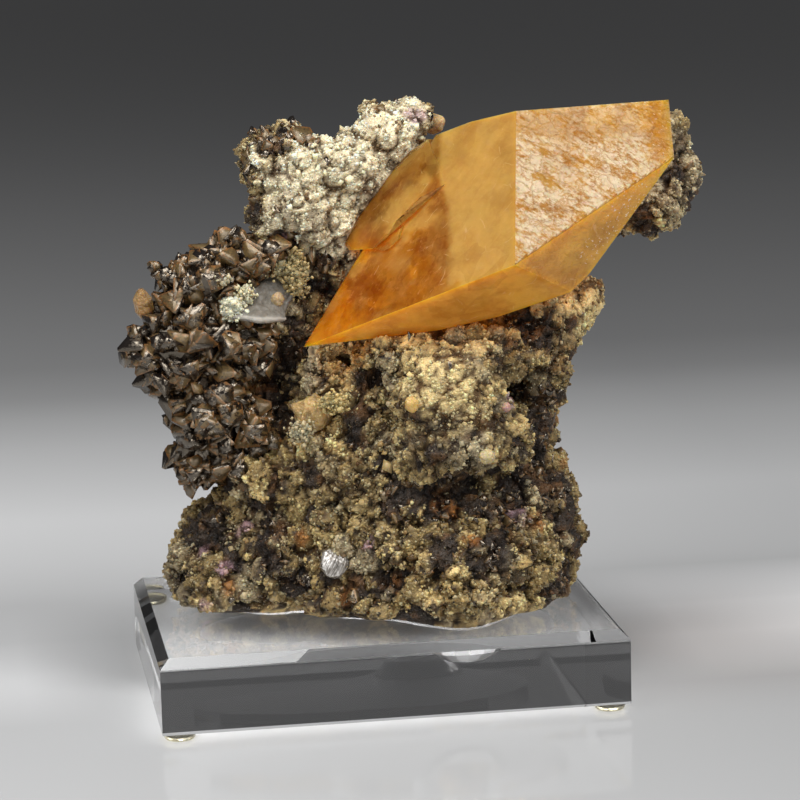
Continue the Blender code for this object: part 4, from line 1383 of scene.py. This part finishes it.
def make_flakes(crystal):
    """Healed cracks inside the crystal: small bent discs, each a fan whose height is a wave round its rim."""
    rng = np.random.default_rng(29)
    places, normals = sample_surface(crystal.data, FLAKES_TRIED, rng)
    depth = rng.uniform(*FLAKE_DEPTHS, len(places)) * MM
    places = places - normals * depth[:, None]
    chance = 0.12 + 0.9 * patch(in_mm(places), FLAKE_MARKS, 0.3, seed=231)
    keep = (clearance(places, ("calcite_crystal",)) > FLAKE_GAP) & (rng.random(len(places)) < chance)
    keep &= (normals @ np.array(FLAKE_SIDE)) > 0.1
    places = places[keep][:FLAKES_KEPT]
    ring = np.linspace(0, math.tau, FLAKE_CORNERS, endpoint=False)
    rim = [(math.cos(a), math.sin(a), 0.25 * math.sin(2 * a)) for a in ring]
    fan = np.array([(0, 1 + k, 1 + (k + 1) % FLAKE_CORNERS) for k in range(FLAKE_CORNERS)])
    size = np.exp(rng.normal(-0.3, 0.6, len(places))) * MM
    stretch = size[:, None] * rng.uniform((0.5, 0.2, 0.5), (2.2, 1.0, 1.0), (len(places), 3))
    rotations = turns(rng.normal(size=(len(places), 3)), rng)
    template = np.array([(0, 0, 0.12), *rim]), fan
    made = scatter(template, places, rotations, np.minimum(stretch, LONGEST_FLAKE * MM))
    piece = new_object("inner_flakes", new_mesh("inner_flakes", *made))
    hand_over(piece, flake_material(), "amber_calcite")


def make_small_calcites():
    """The three small crystals: the CAD solids with rounded edges, refined and dented by noise."""
    material = calcite_material("pale calcite", PALE_ABSORBED, 15.0, PALE_LAMPS, 0.2)
    for node, tint, dent in SMALL_LOOKS:
        piece = node_copy(node, node + "_piece")
        soft_edges(piece, 0.5)
        refine(piece, 0.7)
        mesh = piece.data
        corners, normals = corners_of(mesh), normals_of(mesh)
        points = in_mm(corners)
        bumps = dent * (smooth_noise(points, 3.4, 5) + 0.5 * smooth_noise(points, 1.5, 6))
        set_corners(mesh, corners + normals * (bumps * MM)[:, None])
        shade = 0.8 + 0.35 * smooth_noise(points, 2.0, 9)
        set_colour(mesh, "tint", np.clip(np.array(tint) * shade[:, None], 0, 0.95))
        mark_evenly(mesh, etched=0.45, clear=0.15, frost=0.05)
        hand_over(piece, material, "pale_calcite", node)


# Display block and feet


def make_block():
    """The clear block: the CAD solid with a fine polished round on its edges, and a frosted recess."""
    piece = node_copy("display_block", "block")
    soft_edges(piece, 0.3, 35)
    mesh = piece.data
    mesh.materials.clear()
    mesh.materials.append(clear_material("clear acrylic", (1.0, 1.0, 1.0), 0.0, ACRYLIC_IOR))
    mesh.materials.append(clear_material("frosted acrylic", (0.97, 0.975, 0.98), 0.3, ACRYLIC_IOR))
    middles = np.empty(len(mesh.polygons) * 3, np.float32)
    mesh.polygons.foreach_get("center", middles)
    x, y, z = in_mm(middles.reshape(-1, 3)).T
    carved = (np.abs(x) < RECESS[0]) & (np.abs(y) < RECESS[1]) & (z > RECESS[2]) & (z < BLOCK_TOP - 0.05)
    mesh.polygons.foreach_set("material_index", carved.astype(np.int32))
    return hand_over(piece, None, "acrylic", "display_block")


def make_feet():
    """Bumper feet: a profile of radius and height on a grid with the angle about each foot's axis."""
    profile = np.array(FOOT_PROFILE)
    material = clear_material("clear bumper", (0.93, 0.86, 0.6), 0.12, BUMPER_IOR)
    turn, step = np.meshgrid(np.linspace(0, math.tau, 49), np.arange(len(profile)), indexing="ij")
    for node in ("foot_front_left", "foot_front_right", "foot_back_left", "foot_back_right"):
        low, high = (np.array(corner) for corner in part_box(node))
        middle, radius = (low + high) / 2, (high[0] - low[0]) / 2
        reach = radius * profile[step, 0]
        x, y = middle[0] + reach * np.cos(turn), middle[1] + reach * np.sin(turn)
        points = np.stack([x, y, high[2] * profile[step, 1]], axis=2).reshape(-1, 3)
        piece = new_object(node + "_bumper", new_mesh("bumper", points, grid_faces(*turn.shape)))
        close_seam(piece)
        piece.data.shade_smooth()
        hand_over(piece, material, "bumper", node)


# Stage


def make_camera(settings):
    """Camera from azimuth, elevation and roll about the target, at a distance from it."""
    azimuth, elevation, roll = (math.radians(angle) for angle in CAMERA_ANGLES)
    out = math.cos(elevation)
    back = Vector((math.sin(azimuth) * out, -math.cos(azimuth) * out, math.sin(elevation)))
    level = Vector((math.cos(azimuth), math.sin(azimuth), 0))
    upright = back.cross(level)
    right = math.cos(roll) * level + math.sin(roll) * upright
    up = math.cos(roll) * upright - math.sin(roll) * level
    lens = bpy.data.cameras.new("camera")
    lens.lens = settings.focal_length
    lens.sensor_width = SENSOR_WIDTH
    camera = bpy.data.objects.new("camera", lens)
    bpy.context.scene.collection.objects.link(camera)
    camera.matrix_world = Matrix((right, up, back)).transposed().to_4x4()
    camera.location = Vector(place(CAMERA_TARGET)) + back * CAMERA_DISTANCE * MM
    bpy.context.scene.camera = camera


def floor_material(settings):
    """A pale floor: its tint is a ramp over the distance behind the block, times a share by place. Both are
    painted light.
    """
    m = Nodes("floor")
    spot = m.add("ShaderNodeSeparateXYZ")
    m.feed(spot.inputs["Vector"], m.places())
    x, y = spot.outputs["X"], spot.outputs["Y"]
    start, end = FLOOR_TONES[0][0], FLOOR_TONES[-1][0]
    ramp = m.add("ShaderNodeValToRGB")
    m.feed(ramp.inputs["Fac"], m.span(y, start * MM, end * MM))
    stops = ramp.color_ramp.elements
    last = len(FLOOR_TONES) - 1
    for number, (distance, share) in enumerate(FLOOR_TONES):
        at = (distance - start) / (end - start)
        stop = stops[0] if number == 0 else stops[-1] if number == last else stops.new(at)
        stop.position = at
        stop.color = (*(share * channel for channel in settings.floor), 1)
    # Painted light over the cast shadows beside the block, and brighter to the left
    off_band = m.math("ABSOLUTE", m.math("SUBTRACT", y, FLOOR_BAND * MM))
    off_band = m.span(off_band, BAND_PLAIN * MM, BAND_RIM * MM)
    aside = m.math("ABSOLUTE", m.math("SUBTRACT", x, float(CENTRE[0])))
    gains = []
    for value, (near, far, gain) in ((aside, BAND_BESIDE), (x, BAND_RIGHT)):
        gains.append(m.span(value, near * MM, far * MM, 0.0, gain))
    in_band = m.math("MULTIPLY", m.math("ADD", *gains), m.math("SUBTRACT", 1.0, off_band))
    sideways = m.math("MULTIPLY", m.span(x, -FLOOR_SIDE * MM, FLOOR_SIDE * MM, *FLOOR_SIDES), off_band)
    sideways = m.math("ADD", m.math("ADD", sideways, in_band), 1.0)
    m.set(Base_Color=m.mix(1.0, ramp.outputs["Color"], sideways, "MULTIPLY"), Roughness=0.07, IOR=1.35)
    return m.material


def make_floor(settings):
    """A flat square floor about the frame's middle."""
    corners = np.array([(-1, -1, 0), (1, -1, 0), (1, 1, 0), (-1, 1, 0)], float) * FLOOR_REACH
    floor = new_object("floor", new_mesh("floor", corners, np.array([[0, 1, 2, 3]])))
    floor.data.materials.append(floor_material(settings))


def make_lamps(settings):
    """Softboxes turned to the places that they look at."""
    for name, stands_at, looks_at, width, height, share, power in SOFTBOXES:
        light = bpy.data.lights.new(name, "AREA")
        light.shape = "RECTANGLE"
        light.size, light.size_y = width * MM, height * MM
        light.energy = share * getattr(settings, power)
        lamp = bpy.data.objects.new(name, light)
        bpy.context.scene.collection.objects.link(lamp)
        lamp.location = place(stands_at)
        lamp.rotation_euler = (Vector(place(looks_at)) - lamp.location).to_track_quat("-Z", "Y").to_euler()


def make_room(settings):
    """A dark, even room."""
    world = bpy.data.worlds.new("room")
    world.use_nodes = True
    world.node_tree.nodes["Background"].inputs["Color"].default_value = (*settings.room, 1)
    bpy.context.scene.world = world
    bpy.context.scene.view_settings.view_transform = "Standard"


# Operators and panel


class SPECIMEN_OT_rock(bpy.types.Operator):
    """Make the drusy rock, its knobs and loose grains, and the sphalerite on it"""

    bl_idname = "specimen.rock"
    bl_label = "Rock"

    def execute(self, context):
        settings = context.scene.specimen
        rock = make_rock(settings)
        knobs = make_knobs(settings, rock)
        make_grains(settings, rock, knobs)
        make_sphalerite(settings, rock)
        return {"FINISHED"}


class SPECIMEN_OT_accents(bpy.types.Operator):
    """Make the grey shell, the calcite balls, the crumbs and the bright cleaved crystal"""

    bl_idname = "specimen.accents"
    bl_label = "Accents"

    def execute(self, context):
        make_shell()
        make_balls()
        make_crumbs()
        make_cleavage()
        return {"FINISHED"}


class SPECIMEN_OT_calcite(bpy.types.Operator):
    """Make the large amber crystal and the three small ones"""

    bl_idname = "specimen.calcite"
    bl_label = "Calcite"

    def execute(self, context):
        make_calcite(context.scene.specimen)
        make_small_calcites()
        return {"FINISHED"}


class SPECIMEN_OT_display_block(bpy.types.Operator):
    """Make the clear block and its four bumper feet"""

    bl_idname = "specimen.display_block"
    bl_label = "Display block"

    def execute(self, context):
        make_block()
        make_feet()
        return {"FINISHED"}


class SPECIMEN_OT_stage(bpy.types.Operator):
    """Make the floor, the softboxes, the room and the camera"""

    bl_idname = "specimen.stage"
    bl_label = "Stage"

    def execute(self, context):
        settings = context.scene.specimen
        for make in (make_floor, make_lamps, make_room, make_camera):
            make(settings)
        return {"FINISHED"}


STEPS = ("stage", "rock", "accents", "calcite", "display_block")


class SPECIMEN_PT_panel(bpy.types.Panel):
    """Lists the specimen's pieces in the sidebar"""

    bl_idname = "SPECIMEN_PT_panel"
    bl_label = "Calcite specimen"
    bl_space_type = "VIEW_3D"
    bl_region_type = "UI"
    bl_category = "Specimen"

    def draw(self, context):
        for name in STEPS:
            self.layout.operator(f"specimen.{name}")


CLASSES = (
    SpecimenSettings, SPECIMEN_OT_rock, SPECIMEN_OT_accents, SPECIMEN_OT_calcite, SPECIMEN_OT_display_block,
    SPECIMEN_OT_stage, SPECIMEN_PT_panel,
)


def register():
    for made in CLASSES:
        bpy.utils.register_class(made)
    bpy.types.Scene.specimen = PointerProperty(type=SpecimenSettings)


def unregister():
    del bpy.types.Scene.specimen
    for made in reversed(CLASSES):
        bpy.utils.unregister_class(made)


def main():
    register()
    for name in STEPS:
        getattr(bpy.ops.specimen, name)()


if __name__ == "__main__":
    main()
